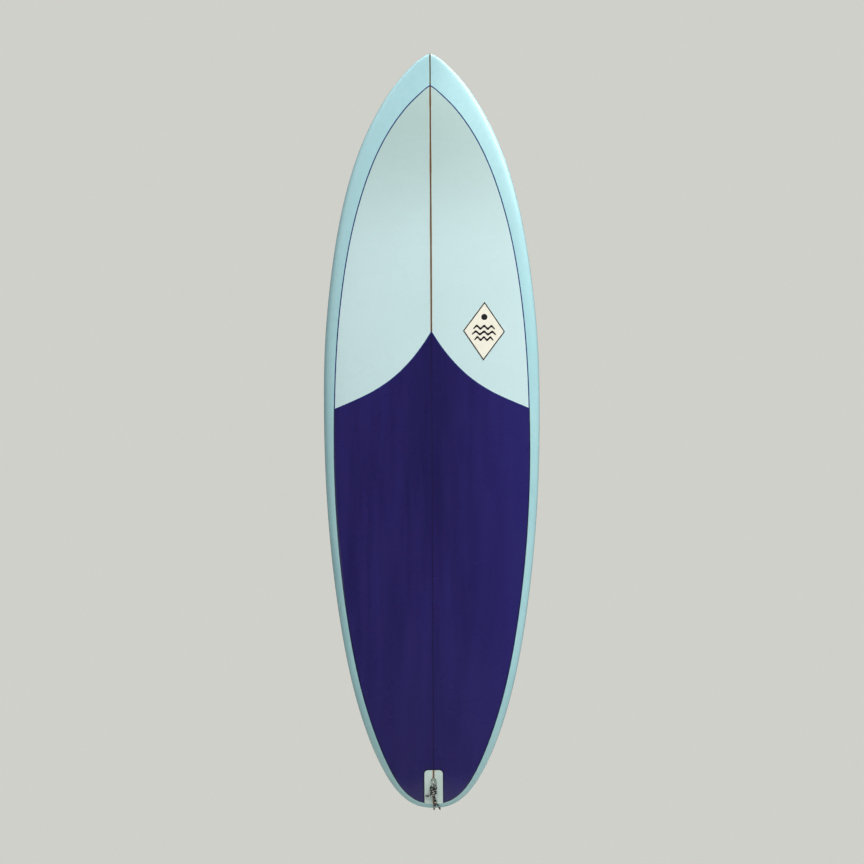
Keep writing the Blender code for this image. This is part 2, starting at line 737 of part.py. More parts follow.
def make_grub_screw(tag, inward, z, frame, box, look):
    """A grub screw that leans on the tab's inner flank, in its own leaning frame."""
    lean = Matrix.Rotation(-inward * GRUB_TILT, 4, "Z")
    seat = add_frame("grub_frame_" + tag,
                     Matrix.Translation((inward * GRUB_TIP[0], GRUB_TIP[1], z)) @ lean)
    seat.parent = frame
    combine(box, rod("grub_hole_" + tag, GRUB_RADIUS + GAP, (0, -0.0008, 0), (0, 0.02, 0), None, seat,
                     sides=16))
    profile = ((0.0, GRUB_LENGTH), (GRUB_RADIUS - 0.0002, GRUB_LENGTH), (GRUB_RADIUS, GRUB_LENGTH - 0.0003),
               (GRUB_RADIUS, 0.0018), (0.0012, 0.0), (0.0, 0.0))
    screw = turned("side_fin_screw_" + tag, profile, look, seat, steps=16)
    combine(screw, rod("grub_socket_" + tag, 0.0012, (0, GRUB_LENGTH - 0.0022, 0),
                       (0, GRUB_LENGTH + 0.01, 0), None, seat, sides=6))


# ---------------------------------------------------------------- leash loop and string
def leash_frame():
    """A frame on the deck at the loop: Y out of the deck, Z forward, so X points to the left rail."""
    line = section_line(outline_length, 1)
    middle = line.centre_z - LEASH_Z
    step = 0.012
    back, foot, ahead = [skin_point(line, "deck", middle + along, 0.0) for along in (step, 0.0, -step)]
    forward = (ahead - back).normalized()
    across = Vector((-1.0, 0.0, 0.0))
    turn = Matrix((across, forward.cross(across), forward)).transposed().to_4x4()
    return Matrix.Translation(foot) @ turn


def add_tube(name, points, radius, look, parent, factors=None, resolution=2):
    """A round tube along points, with an optional radius factor for each."""
    curve = bpy.data.curves.new(name, "CURVE")
    curve.dimensions = "3D"
    curve.bevel_depth = radius
    curve.bevel_resolution = resolution
    curve.use_fill_caps = True
    spline = curve.splines.new("POLY")
    spline.points.add(len(points) - 1)
    for k, point in enumerate(points):
        spline.points[k].co = (*point, 1.0)
        spline.points[k].radius = factors[k] if factors else 1.0
    curve.materials.append(look)
    made = bpy.data.objects.new(name, curve)
    made.parent = parent
    board.objects.link(made)
    return made


def make_leash_loop(frame, look):
    """A glassed-on arch along the stringer, whose feet flare into the deck."""
    foot, spring, steps = 0.0004, 0.0012, 12
    half_span = LOOP_SPAN / 2
    arch = [(spring + (LOOP_HEIGHT - spring) * math.sin(math.pi * k / steps),
             half_span * math.cos(math.pi * k / steps)) for k in range(steps + 1)]
    spots = [(foot, half_span)] + arch + [(foot, -half_span)]
    points = [(0.0, lift, LOOP_CENTRE + along) for lift, along in spots]
    flare = [1 + LOOP_FLARE * math.exp(-(lift - foot) / LOOP_FLARE_HEIGHT) for lift, _ in spots]
    add_tube("leash_loop", points, LOOP_RADIUS, look, frame, flare, 3)


def string_route():
    """The string's route points, in metres in the leash frame."""
    wraps = []
    for k in range(1, 8 * WRAP_TURNS + 1):
        angle = math.pi + 2 * math.pi * k / 8
        wraps.append((WRAP_HALF_WIDTH * math.cos(angle), WRAP_LIFT + WRAP_HALF_HEIGHT * math.sin(angle),
                      WRAP_START + WRAP_PITCH * k / 8))
    route = list(ROUTE_BEFORE) + wraps + list(ROUTE_AFTER)
    return [(-across / 1000, lift / 1000, forward / 1000) for across, lift, forward in route]


def make_leash_string(frame, look):
    read, length = path_through(string_route())
    count = round(length / STRING_SPACING)
    points = [tuple(read(length * k / count)) for k in range(count + 1)]
    add_tube("leash_string", points, STRING_RADIUS, look, frame)


clear_scene()
board = make_collection("surfboard")
cutters = make_collection("cutters")
PLACES, CORNER_LINE = line_places()


def main():
    foam = material("foam", (0.93, 0.91, 0.82), 0.9)
    wood = material("stringer_wood", (0.32, 0.18, 0.10), 0.6)
    blue = material("blue_tinted_glass", (0.42, 0.70, 0.74), 0.08)
    aqua = material("clear_glass_over_foam", (0.62, 0.80, 0.78), 0.08)
    indigo = material("indigo_tinted_glass", (0.025, 0.018, 0.11), 0.08)
    navy = material("navy_resin", (0.06, 0.09, 0.26), 0.12)
    cream = material("decal_paper", (0.93, 0.90, 0.78), 0.3)
    black_plastic = material("black_box_plastic", (0.02, 0.02, 0.022), 0.45)
    fin_glass = material("fin_fibreglass", (0.10, 0.16, 0.24), 0.12)
    brass = material("brass", (0.78, 0.57, 0.22), 0.3, 1.0)
    steel = material("stainless_steel", (0.62, 0.62, 0.60), 0.28, 1.0)
    loop_glass = material("loop_fibreglass", (0.60, 0.66, 0.62), 0.15)
    cord = material("flecked_cord", (0.05, 0.05, 0.048), 0.75)

    blank_left = make_blank("blank_left", -1, foam)
    blank_right = make_blank("blank_right", 1, foam)
    stringer = make_stringer(wood)
    bottom = make_bottom_glass(blue)
    pinline = make_pinline(navy)
    make_forward_panel(aqua)
    make_tail_panel_and_window(indigo, aqua, pinline)
    make_decal(cream)

    centre = add_frame("centre_frame", bottom_frame(0.0, CENTRE_BOX_Z))
    make_centre_box(centre, black_plastic, (blank_left, blank_right, stringer, bottom))
    make_centre_fin(centre, fin_glass)
    make_centre_hardware(centre, brass, steel)
    make_side_set("left", -1, black_plastic, fin_glass, steel, (blank_left, bottom))
    make_side_set("right", 1, black_plastic, fin_glass, steel, (blank_right, bottom))

    leash = add_frame("leash_frame", leash_frame())
    make_leash_loop(leash, loop_glass)
    make_leash_string(leash, cord)


main()
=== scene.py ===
"""A 1.88 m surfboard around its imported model: gloss laminations over foam, a 2+1 fin set, a leash string.

Frame: metres, +Z towards the nose, +X the right rail as seen from the deck. The deck faces -Y and the
bottom faces +Y. The shape's formulas are those of the CAD source, sampled more finely.
"""

import math
from collections import namedtuple

import bmesh
import bpy
import numpy as np
from mathutils import Matrix, Vector
from mathutils.bvhtree import BVHTree


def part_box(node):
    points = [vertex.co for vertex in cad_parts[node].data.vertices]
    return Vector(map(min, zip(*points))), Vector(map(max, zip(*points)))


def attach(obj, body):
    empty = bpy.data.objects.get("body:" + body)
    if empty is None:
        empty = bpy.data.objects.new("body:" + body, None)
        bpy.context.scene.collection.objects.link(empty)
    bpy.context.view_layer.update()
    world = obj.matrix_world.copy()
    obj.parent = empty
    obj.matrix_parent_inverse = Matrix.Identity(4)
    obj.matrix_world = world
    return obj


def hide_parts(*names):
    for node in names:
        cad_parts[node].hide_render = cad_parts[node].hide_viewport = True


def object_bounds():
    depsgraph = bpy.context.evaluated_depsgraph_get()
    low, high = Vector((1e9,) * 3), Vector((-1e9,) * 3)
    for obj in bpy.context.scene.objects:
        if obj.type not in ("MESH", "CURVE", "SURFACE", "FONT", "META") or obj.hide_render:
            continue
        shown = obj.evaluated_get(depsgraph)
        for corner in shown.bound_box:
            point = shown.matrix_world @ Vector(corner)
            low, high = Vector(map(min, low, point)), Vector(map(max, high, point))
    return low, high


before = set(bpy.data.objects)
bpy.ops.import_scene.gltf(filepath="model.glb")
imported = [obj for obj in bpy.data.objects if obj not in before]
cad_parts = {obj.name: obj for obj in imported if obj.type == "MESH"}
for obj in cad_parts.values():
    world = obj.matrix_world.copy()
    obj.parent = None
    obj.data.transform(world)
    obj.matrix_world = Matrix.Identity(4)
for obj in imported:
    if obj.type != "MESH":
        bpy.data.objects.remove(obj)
cad_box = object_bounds()

# Driving dimensions of the board, as in the CAD
HALF_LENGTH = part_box("bottom_glass")[1].z
THICKNESS = 0.0667
NOSE_ROCKER = 0.118
TAIL_ROCKER = 0.050
GLASS = 0.0011
GAP = 0.0003
CROWN = 0.24
DECK_RAIL = 0.40
BOTTOM_RAIL = 1.30

# Outline: distance from the nose tip, half width
TEMPLATE = (
    (0.0, 0.0), (0.0087, 0.0170), (0.0287, 0.0425), (0.0787, 0.0880), (0.1386, 0.1279),
    (0.2385, 0.1763), (0.3783, 0.2190), (0.5582, 0.2502), (0.7430, 0.2665), (0.8900, 0.2690),
    (1.0426, 0.2660), (1.2224, 0.2545), (1.4023, 0.2330), (1.5820, 0.1985), (1.7020, 0.1620),
    (1.7920, 0.1215), (1.8517, 0.0765), (1.8737, 0.0410), (2 * HALF_LENGTH, 0.0),
)
# Along the board (Z): thickness at the stringer, rail apex as a share of it, width of the rail lap
THICKNESS_AT = ((-0.94, 0.0150), (-0.80, 0.0350), (-0.64, 0.0480), (-0.33, 0.0612), (0.02, THICKNESS),
                (0.35, 0.0618), (0.64, 0.0465), (0.80, 0.0330), (0.94, 0.0130))
APEX_AT = ((-0.94, 0.30), (-0.45, 0.35), (0.10, 0.38), (0.60, 0.41), (0.94, 0.44))
LAP_AT = ((-0.94, 0.0120), (-0.83, 0.0175), (-0.68, 0.0195), (-0.33, 0.0205), (0.055, 0.0261),
          (0.19, 0.0292), (0.33, 0.0312), (0.48, 0.0349), (0.60, 0.0403), (0.70, 0.0447),
          (0.80, 0.0511), (0.88, 0.0629), (0.94, 0.0800))
NOSE_FAN = (0.49, 0.16)
TAIL_FAN = (-0.59, 0.12)

PANEL_CORNER_Z = 0.056
PANEL_SWEEP = 0.1936
SWEEP_SPREAD = 0.38
PINLINE_WIDTH = 0.0030
EDGE_LINE_WIDTH = 0.0022
WINDOW_LINE_WIDTH = 0.0036
WINDOW_WIDTH = 0.0455
WINDOW_TOP_Z = -0.8457
WINDOW_RADIUS = 0.009
STRINGER_HALF = 0.0021
GLUE_HALF = 0.0031
WINDOW_CORE_HALF = 0.0017
WINDOW_GLUE_HALF = 0.0034

# Fineness of the skin: section lines on each side, and spots on each line
LINES_PER_SIDE = 150
BOTTOM_SPOTS = 28
RAIL_SPOTS = 18
DECK_SPOTS = 26

DECAL_CENTRE = (0.1312, 0.2480)
DECAL_HALF = (0.0526, 0.0737)
DECAL_TILT = math.radians(1.5)
PAPER_LIFT = 0.00030
PAPER_THICKNESS = 0.00025
INK_LIFT = 0.00038
INK_THICKNESS = 0.00006
# Shares of the badge's half width or half height: rings of the border, each wave's middle height and half
# length, height and half width of a wave, rings of the disc and its middle height
BORDER_RINGS = (0.995, 0.962, 0.93)
WAVES = ((0.13, 0.52), (-0.06, 0.58), (-0.25, 0.46))
WAVE_HEIGHT = 0.045
WAVE_HALF_WIDTH = 0.042
DISC_RINGS = (0.0005, 0.05, 0.10, 0.145)
DISC_MIDDLE = 0.48

# Fin boxes and fins, in each box's own frame: X across, Y out of the bottom, Z forward
CENTRE_BOX_Z = -0.735
CENTRE_BOX = (0.216, 0.0254, 0.0260)
SLOT = (0.190, 0.0097, 0.0200)
SLOT_CORNER = 0.0035
GROOVE = (-0.0135, -0.0085, 0.0154)
ENTRY_Z = 0.010
ENTRY_LENGTH = 0.0146
TAB_WIDTH = 0.0090
FIN_FRONT_Z = 0.066
FIN_BASE = 0.150
FIN_HEIGHT = 0.178
TONGUE_LENGTH = 0.0165
TONGUE = (-0.0078, -0.0032)
SCREW_Z = FIN_FRONT_Z + 0.0085
PIN_Z = FIN_FRONT_Z - 0.134
PIN_RADIUS = 0.0021
SIDE_BOX_X = 0.176
SIDE_BOX_Z = -0.575
SIDE_BOX = (0.128, 0.0260, 0.0165)
SIDE_TOE_IN = math.radians(3.0)
SIDE_CANT = math.radians(5.0)
SIDE_FIN_BASE = 0.108
SIDE_FIN_HEIGHT = 0.102
SIDE_TAB = (0.0160, 0.0056, 0.0122)
SIDE_TAB_ZS = (0.029, -0.029)
SIDE_SLOT_CLEARANCE = 0.0004
GRUB_RADIUS = 0.0022
GRUB_LENGTH = 0.0068
GRUB_TILT = math.radians(30.0)
GRUB_TIP = (0.0041, -0.0078)

# Edges of the fins: share of the height, distance back from the front of the base; then the half thickness
# of each foil, and how far the side fins' nearly flat inner face bulges, as a share of that
CENTRE_FRONT = ((0.0, 0.0), (0.25, 0.021), (0.5, 0.052), (0.75, 0.095), (0.9, 0.131), (1.0, 0.164))
CENTRE_BACK = ((0.0, 0.150), (0.12, 0.139), (0.3, 0.1315), (0.5, 0.1335), (0.72, 0.147), (0.9, 0.165),
               (1.0, 0.176))
SIDE_FRONT = ((0.0, 0.0), (0.3, 0.019), (0.6, 0.047), (0.85, 0.080), (1.0, 0.106))
SIDE_BACK = ((0.0, 0.108), (0.15, 0.100), (0.4, 0.0965), (0.7, 0.1035), (1.0, 0.1155))
CENTRE_FOIL = 0.0043
SIDE_FOIL = 0.0062
SIDE_INNER_SHARE = 0.12

# Corner radii of the boxes, how far their faces lie under the glass, and the holes and screws
CENTRE_CORNER = 0.006
SIDE_CORNER = 0.010
BOX_SUNK = 0.0002
PIN_Y = -0.011
SCREW_HOLE = 0.0023
SOCKET_RADIUS = 0.0012
SOCKET_DEPTH = 0.0022
SHANK_RADIUS = 0.0020
HEAD_RADIUS = 0.0038
SCREW_TIP = -0.0158

# Leash loop and string, in a frame on the deck of the tail window
LEASH_Z = -0.8755
LOOP_CENTRE = -0.0040
LOOP_SPAN = 0.0195
LOOP_HEIGHT = 0.0120
LOOP_RADIUS = 0.0031
MOUND_HALF = (0.0082, 0.0165)
MOUND_HEIGHT = 0.0011
# Height at which the arch of the loop starts, how far its ends are sunk, how much it widens and thickens
# towards the deck and over what height, and the relief of its strands
LOOP_FOOT = 0.0012
LOOP_SUNK = 0.0004
LOOP_FLARE = (0.0042, 0.0016)
LOOP_FLARE_HEIGHT = 0.0021
LOOP_RIDGE = 0.0001
STRING_RADIUS = 0.0019
BRAID_CARRIERS = 8
TRACER_CARRIERS = 2
BRAID_LAY = 0.0120
BRAID_RELIEF = 0.00016
CORD_STEP = 0.00036
CORD_SIDES = 40

# The string's route, in millimetres across to +X, out of the deck and towards the nose: its loose end,
# then two wraps, then through the loop, down through the wraps, over the tail, and back up
WRAP_HALF_WIDTH = 6.6
WRAP_HALF_HEIGHT = 4.7
WRAP_LIFT = 7.2
WRAP_START = -29.5
WRAP_PITCH = 4.3
WRAP_TURNS = 2
ROUTE_BEFORE = ((-21.0, 3.4, -31.6), (-16.0, 3.2, -34.6), (-11.0, 4.9, -33.6))
ROUTE_AFTER = (
    (-7.8, 4.4, -18.8), (-7.7, 4.1, -15.6), (-6.9, 3.8, -11.8), (-4.2, 3.8, -8.0), (0.0, 3.8, -6.7),
    (4.2, 3.8, -8.0), (6.9, 4.0, -11.8), (5.9, 5.6, -16.2), (2.6, 7.0, -20.0), (2.1, 7.2, -24.0),
    (2.3, 6.7, -30.0), (0.8, 3.8, -35.5), (-0.6, 2.8, -40.5), (0.8, 5.0, -45.0), (4.6, 6.8, -49.8),
    (8.6, 4.2, -55.5), (12.2, 1.8, -61.0), (14.8, -1.0, -66.2), (15.4, -7.2, -68.6),
    (14.8, -12.8, -66.2), (12.7, -16.6, -62.8), (8.1, -18.2, -61.4), (3.5, -16.6, -63.0),
    (1.4, -12.8, -66.4), (0.8, -7.2, -68.8), (1.2, -1.0, -66.6), (2.6, 1.6, -60.6),
    (4.0, 2.2, -54.5), (4.7, 2.2, -49.5), (4.9, 2.7, -44.6), (2.6, 6.8, -39.5), (-0.4, 8.4, -34.8),
    (-2.3, 7.5, -29.5), (-2.1, 7.2, -24.0), (-2.3, 7.6, -19.8), (-1.0, 9.7, -17.0),
    (3.0, 11.2, -16.6), (7.4, 10.6, -18.2),
)

# Camera, straight on to the deck, and the height of the object plane that it sees
VIEW_HEIGHT = 2.157
VIEW_DISTANCE = 40.0
VIEW_CENTRE = (0.0003, -0.0027)
VIEW_ROLL = math.radians(0.29)
SENSOR = 36.0

FLOOR_DROP = 0.30
FLOOR_RADIUS = 3.0

# Edges that turn more than this are kept sharp
SHARP_ANGLE = math.radians(35)

# Pitch of the glass cloth's weave, and how far it stands out of the resin
WEAVE_PITCH = 0.0013
WEAVE_RELIEF = 0.000008

Lines = namedtuple("Lines", "side rim_z centre_z reach dx dz lap sweep")


# ---------------------------------------------------------------- curves
def cubic(places, values):
    """A natural cubic through values at increasing places, as a function of one place or an array."""
    places = np.array(places, dtype=float)
    values = np.array(values, dtype=float)
    count = len(places)
    steps = np.diff(places)
    slopes = (np.diff(values, axis=0).T / steps).T
    matrix = np.eye(count)
    right = np.zeros_like(values)
    for k in range(1, count - 1):
        matrix[k, k - 1:k + 2] = steps[k - 1], 2 * (steps[k - 1] + steps[k]), steps[k]
        right[k] = 6 * (slopes[k] - slopes[k - 1])
    bends = np.linalg.solve(matrix, right)

    def read(place):
        place = np.asarray(place, dtype=float)
        k = np.clip(np.searchsorted(places, place) - 1, 0, count - 2)
        step = steps[k]
        a = (places[k + 1] - place) / step
        b = 1 - a
        weights = a, b, (a ** 3 - a) * step ** 2 / 6, (b ** 3 - b) * step ** 2 / 6
        if values.ndim > 1:
            weights = [weight[..., None] for weight in weights]
        terms = values[k], values[k + 1], bends[k], bends[k + 1]
        return sum(weight * term for weight, term in zip(weights, terms))

    return read


def path_through(points):
    """A smooth curve through points, read by distance along their chords, and its whole length."""
    knots = np.array(points, dtype=float)
    chords = np.linalg.norm(np.diff(knots, axis=0), axis=1)
    places = np.concatenate(([0.0], np.cumsum(chords)))
    return cubic(places, knots), places[-1]


def table(rows):
    return cubic([row[0] for row in rows], [row[1] for row in rows])


def solve(function, low, high):
    """Where an increasing function crosses zero."""
    for _ in range(60):
        middle = (low + high) / 2
        if function(middle) < 0:
            low = middle
        else:
            high = middle
    return (low + high) / 2


# ---------------------------------------------------------------- shape of the board
thickness = table(THICKNESS_AT)
apex_share = table(APEX_AT)
lap_width = table(LAP_AT)

# The two extra points mirror the tail, so that the outline crosses the stringer square
tail_mirror = [(row[0], -row[1]) for row in TEMPLATE[-2:-4:-1]]
outline, _ = path_through(list(TEMPLATE) + tail_mirror)
_, outline_length = path_through(TEMPLATE)


def rocker(z):
    """How far the bottom has risen towards the deck."""
    share = np.abs(z) / HALF_LENGTH
    return np.where(np.asarray(z) > 0, NOSE_ROCKER * share ** 2.6, TAIL_ROCKER * share ** 2.1)


def deck_height(along, reach, z):
    """Height of the deck over the bottom plane, from the domed middle to the rounded rail."""
    full = thickness(z)
    apex = apex_share(z) * full
    crown = full * (1 - CROWN * (along / reach) ** 2) - apex
    return apex + crown * np.sqrt(1 - np.exp(-2 * np.maximum(reach - along, 0) / (DECK_RAIL * full)))


def bottom_height(along, reach, z):
    apex = apex_share(z) * thickness(z)
    return apex * (1 - np.sqrt(1 - np.exp(-2 * np.maximum(reach - along, 0) / (BOTTOM_RAIL * apex))))


def fan_centre(z):
    """Where the section lines that end at z on the rim start on the stringer."""
    nose_start, nose_pull = NOSE_FAN
    tail_start, tail_pull = TAIL_FAN
    nose_share = np.maximum(z - nose_start, 0) / (HALF_LENGTH - nose_start)
    tail_share = np.maximum(tail_start - z, 0) / (tail_start + HALF_LENGTH)
    return z - nose_pull * nose_share ** 2 + tail_pull * tail_share ** 2


def section_lines(places, side):
    """Section lines that end at places along the outline, each quantity as a column."""
    places = np.atleast_1d(np.asarray(places, dtype=float))
    down, width = outline(places).T
    inside = (places > 0) & (places < outline_length)
    width = np.where(inside, np.abs(width), 0.0)
    rim_z = HALF_LENGTH - down
    centre_z = fan_centre(rim_z)
    reach = np.hypot(width, rim_z - centre_z)
    sweep = PANEL_SWEEP * np.exp(-((rim_z - PANEL_CORNER_Z) / SWEEP_SPREAD) ** 2)
    values = rim_z, centre_z, reach, width / reach, (rim_z - centre_z) / reach, lap_width(rim_z), sweep
    return Lines(side, *(value[:, None] for value in values))


def panel_edge(share):
    """Forward edge of the tail panel: 0 at the apex to 1 at the lap, both across and down."""
    return 2.1 * share - 1.75 * share ** 2 + 0.65 * share ** 3


def skin(lines, face, along, shift=0.0):
    """Points of the outer skin, `along` from the stringer on the deck or the bottom."""
    z = lines.centre_z + lines.dz * along + shift
    if face == "deck":
        share = np.clip(along / (lines.reach - lines.lap), 0, 1)
        z = z + lines.sweep * (1 - panel_edge(share))
        height = deck_height(along, lines.reach, z)
    else:
        height = bottom_height(along, lines.reach, z)
    x = lines.side * lines.dx * along + 0 * z
    return np.stack((x, -rocker(z) - height, z), axis=-1)


def line_places():
    """Places of the section lines along the outline, closer together at both ends."""
    even = np.linspace(0, 1, LINES_PER_SIDE + 1)
    places = (0.5 * even + 0.25 * (1 - np.cos(np.pi * even))) * outline_length
    corner = solve(lambda s: outline(s)[0] - (HALF_LENGTH - PANEL_CORNER_Z), 0.0, outline_length)
    nearest = int(np.argmin(np.abs(places - corner)))
    places[nearest] = corner
    return places, nearest


PLACES, CORNER = line_places()


def both_sides(places, make_row):
    """Points from one end of the left side, around the nose, to the same end of the right."""
    left, right = [make_row(section_lines(places, side)) for side in (-1, 1)]
    return np.concatenate((left[:0:-1], right))


def tail_side(places, make_row):
    """Points from the first line of the left side, around the tail, to that of the right."""
    left, right = [make_row(section_lines(places, side)) for side in (-1, 1)]
    return np.concatenate((left, right[-2::-1]))


def bottom_row(lines):
    """From the stringer over the bottom, around the rim and onto the deck, up to the pinline."""
    near_rim = np.linspace(1, 0, BOTTOM_SPOTS) ** 2
    bottom = skin(lines, "bottom", lines.reach * (1 - near_rim))
    inward = np.linspace(0, 1, RAIL_SPOTS)[1:] ** 1.7
    rail = skin(lines, "deck", lines.reach - (lines.lap - PINLINE_WIDTH / 2) * inward)
    return np.concatenate((bottom, rail), axis=1)


def pinline_row(lines):
    middle = lines.reach - lines.lap
    across = np.array((1.0, 0.0, -1.0)) * PINLINE_WIDTH / 2
    return skin(lines, "deck", middle + across)


def deck_spots(lines):
    """Distances from the stringer, from the pinline's inner edge to the stringer."""
    inside = lines.reach - lines.lap - PINLINE_WIDTH / 2
    shares = np.linspace(1, 0, DECK_SPOTS)
    close = 1 - np.array((0.002, 0.008, 0.018))
    return inside * np.concatenate((shares[:1], close, shares[1:]))


def deck_row(lines):
    return skin(lines, "deck", deck_spots(lines))


def edge_shift(lines, width):
    """Moves a section line back by a width, measured square to the tail panel's forward edge."""
    along = deck_spots(lines)
    lap_start = lines.reach - lines.lap
    share = along / lap_start
    slope = lines.sweep * (2.1 - 3.5 * share + 1.95 * share ** 2) / lap_start
    return skin(lines, "deck", along, -width * np.sqrt(1 + slope ** 2))


# ---------------------------------------------------------------- meshes
def grid_mesh(points):
    """A bmesh over a grid of points, welded where points coincide."""
    rows, columns = points.shape[:2]
    index = np.arange(rows * columns).reshape(rows, columns)
    faces = np.stack((index[:-1, :-1], index[:-1, 1:], index[1:, 1:], index[1:, :-1]), axis=-1)
    mesh = bpy.data.meshes.new("grid")
    mesh.from_pydata(points.reshape(-1, 3).tolist(), [], faces.reshape(-1, 4).tolist())
    bm = bmesh.new()
    bm.from_mesh(mesh)
    bpy.data.meshes.remove(mesh)
    bmesh.ops.remove_doubles(bm, verts=bm.verts, dist=2e-6)
    return bm


def deck_tree(points):
    """A tree of a deck sheet, to lay things on."""
    bm = grid_mesh(points)
    tree = BVHTree.FromBMesh(bm)
    bm.free()
    return tree


def face_out(bm):
    """Turns an open skin's faces away from the middle of the board."""
    out = 0.0
    for face in bm.faces:
        middle = face.calc_center_median()
        core = Vector((0, -float(rocker(middle.z)) - 0.4 * float(thickness(middle.z)), middle.z))
        out += face.calc_area() * face.normal.dot((middle - core).normalized())
    if out < 0:
        bmesh.ops.reverse_faces(bm, faces=bm.faces)


def cut_along_stringer(bm, core=STRINGER_HALF, glue=GLUE_HALF):
    for x in (-glue, -core, core, glue):
        everything = bm.verts[:] + bm.edges[:] + bm.faces[:]
        bmesh.ops.bisect_plane(bm, geom=everything, dist=1e-6, plane_co=(x, 0, 0), plane_no=(1, 0, 0))


def taken(bm, low, high):
    """A copy of the faces whose middles are from low to high away from the stringer."""
    copy = bm.copy()
    wrong = [face for face in copy.faces if not low <= abs(face.calc_center_median().x) < high]
    bmesh.ops.delete(copy, geom=wrong, context="FACES")
    return copy


def piece(name, bm, look, body="board", stands_for=(), angle=SHARP_ANGLE, matrix=None):
    """Adds a piece that rides on a body, takes a material slot's finish and stands for CAD nodes."""
    mesh = bpy.data.meshes.new(name)
    bm.to_mesh(mesh)
    bm.free()
    if matrix is not None:
        mesh.transform(matrix)
    made = bpy.data.objects.new(name, mesh)
    bpy.context.scene.collection.objects.link(made)
    mesh.materials.append(look)
    mesh.shade_smooth()
    mesh.set_sharp_from_angle(angle=angle)
    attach(made, body)
    if stands_for:
        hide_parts(*stands_for)
    return made


def tool(name, bm, matrix=None):
    """A cutter, which is removed once it has cut."""
    mesh = bpy.data.meshes.new(name)
    bmesh.ops.recalc_face_normals(bm, faces=bm.faces)
    bm.to_mesh(mesh)
    bm.free()
    if matrix is not None:
        mesh.transform(matrix)
    made = bpy.data.objects.new(name, mesh)
    bpy.context.scene.collection.objects.link(made)
    return made


def thicken(made, depth=GLASS):
    step = made.modifiers.new("thickness", "SOLIDIFY")
    step.thickness = depth
    step.offset = -1.0


def combine(target, cutter, operation="DIFFERENCE"):
    step = target.modifiers.new(cutter.name, "BOOLEAN")
    step.operation = operation
    step.solver = "EXACT"
    step.object = cutter


def bevel(made, width):
    step = made.modifiers.new("edges", "BEVEL")
    step.width = width
    step.segments = 2
    step.limit_method = "ANGLE"
    step.angle_limit = math.radians(40)
    step.use_clamp_overlap = True


def settle(made):
    """Applies a piece's modifiers and gives back the cutters that they used, for the caller to remove."""
    graph = bpy.context.evaluated_depsgraph_get()
    mesh = bpy.data.meshes.new_from_object(made.evaluated_get(graph), depsgraph=graph)
    cutters = {step.object for step in made.modifiers if step.type == "BOOLEAN"}
    made.modifiers.clear()
    made.data = mesh
    mesh.shade_smooth()
    mesh.set_sharp_from_angle(angle=SHARP_ANGLE)
    return cutters


def remove(objects):
    for item in objects:
        bpy.data.objects.remove(item, do_unlink=True)


# ---------------------------------------------------------------- materials
def srgb(*values):
    """A linear colour from its 0 to 255 screen values."""
    shares = [value / 255 for value in values]
    return tuple(s / 12.92 if s <= 0.04045 else ((s + 0.055) / 1.055) ** 2.4 for s in shares) + (1.0,)


class Look:
    """A Principled material whose nodes work in the piece's own coordinates, which are the board's."""

    def __init__(self, name):
        self.material = bpy.data.materials.new(name)
        self.material.use_nodes = True
        self.tree = self.material.node_tree
        self.shader = self.tree.nodes["Principled BSDF"]
        self.place = self.add("ShaderNodeTexCoord").outputs["Object"]
        parts = self.add("ShaderNodeSeparateXYZ", {0: self.place})
        self.x, _, self.z = parts.outputs
        self.from_stringer = self.math("ABSOLUTE", self.x)

    def feed(self, socket, value):
        if isinstance(value, bpy.types.NodeSocket):
            self.tree.links.new(value, socket)
        else:
            socket.default_value = value

    def add(self, kind, inputs=None, **settings):
        node = self.tree.nodes.new(kind)
        for name, value in settings.items():
            setattr(node, name, value)
        for socket, value in (inputs or {}).items():
            self.feed(node.inputs[socket], value)
        return node

    def math(self, operation, first, second=0.0):
        return self.add("ShaderNodeMath", {0: first, 1: second}, operation=operation).outputs[0]

    def ramp(self, value, low, high, start=0.0, end=1.0):
        """A smooth step from start to end as value goes from low to high."""
        inputs = {0: value, 1: low, 2: high, 3: start, 4: end}
        return self.add("ShaderNodeMapRange", inputs, interpolation_type="SMOOTHSTEP").outputs[0]

    def mix(self, share, first, second):
        inputs = {0: share, 6: first, 7: second}
        return self.add("ShaderNodeMix", inputs, data_type="RGBA").outputs[2]

    def noise(self, size, detail=2.0, stretch=(1, 1, 1), shift=0.0):
        """Noise from 0 to 1 with lumps of about a size in metres, stretched along the axes."""
        scale = [1 / (size * share) for share in stretch]
        mapped = self.add("ShaderNodeMapping", {0: self.place, 1: (shift, shift, shift), 3: scale})
        inputs = {"Vector": mapped.outputs[0], "Scale": 1.0, "Detail": detail}
        return self.add("ShaderNodeTexNoise", inputs).outputs[0]

    def waves(self, axis, pitch):
        """A slightly wavering sine from 0 to 1 along an axis."""
        inputs = {"Vector": self.place, "Scale": math.tau / 20 / pitch, "Distortion": 0.4,
                  "Detail Scale": 0.3}
        return self.add("ShaderNodeTexWave", inputs, wave_type="BANDS", bands_direction=axis).outputs[1]

    def weave(self, pitch):
        """Plain-woven glass cloth, along and across the board."""
        return self.math("MULTIPLY", self.waves("X", pitch), self.waves("Z", pitch))

    def attribute(self, name):
        return self.add("ShaderNodeAttribute", attribute_name=name).outputs["Fac"]

    def bump(self, height, distance):
        inputs = {"Height": height, "Distance": distance, "Strength": 1.0}
        return self.add("ShaderNodeBump", inputs).outputs[0]

    def finish(self, **sockets):
        """Sets the shader's sockets, whose names are given with underscores, and gives the material."""
        for name, value in sockets.items():
            self.feed(self.shader.inputs[name.replace("_", " ")], value)
        return self.material


def gloss(look, colour, roughness, normal):
    """A lamination's colour under clear gloss resin."""
    return look.finish(Base_Color=colour, Roughness=roughness, Normal=normal, IOR=1.5,
                       Specular_IOR_Level=0.12, Coat_Weight=1.0, Coat_Roughness=0.05, Coat_IOR=1.5)


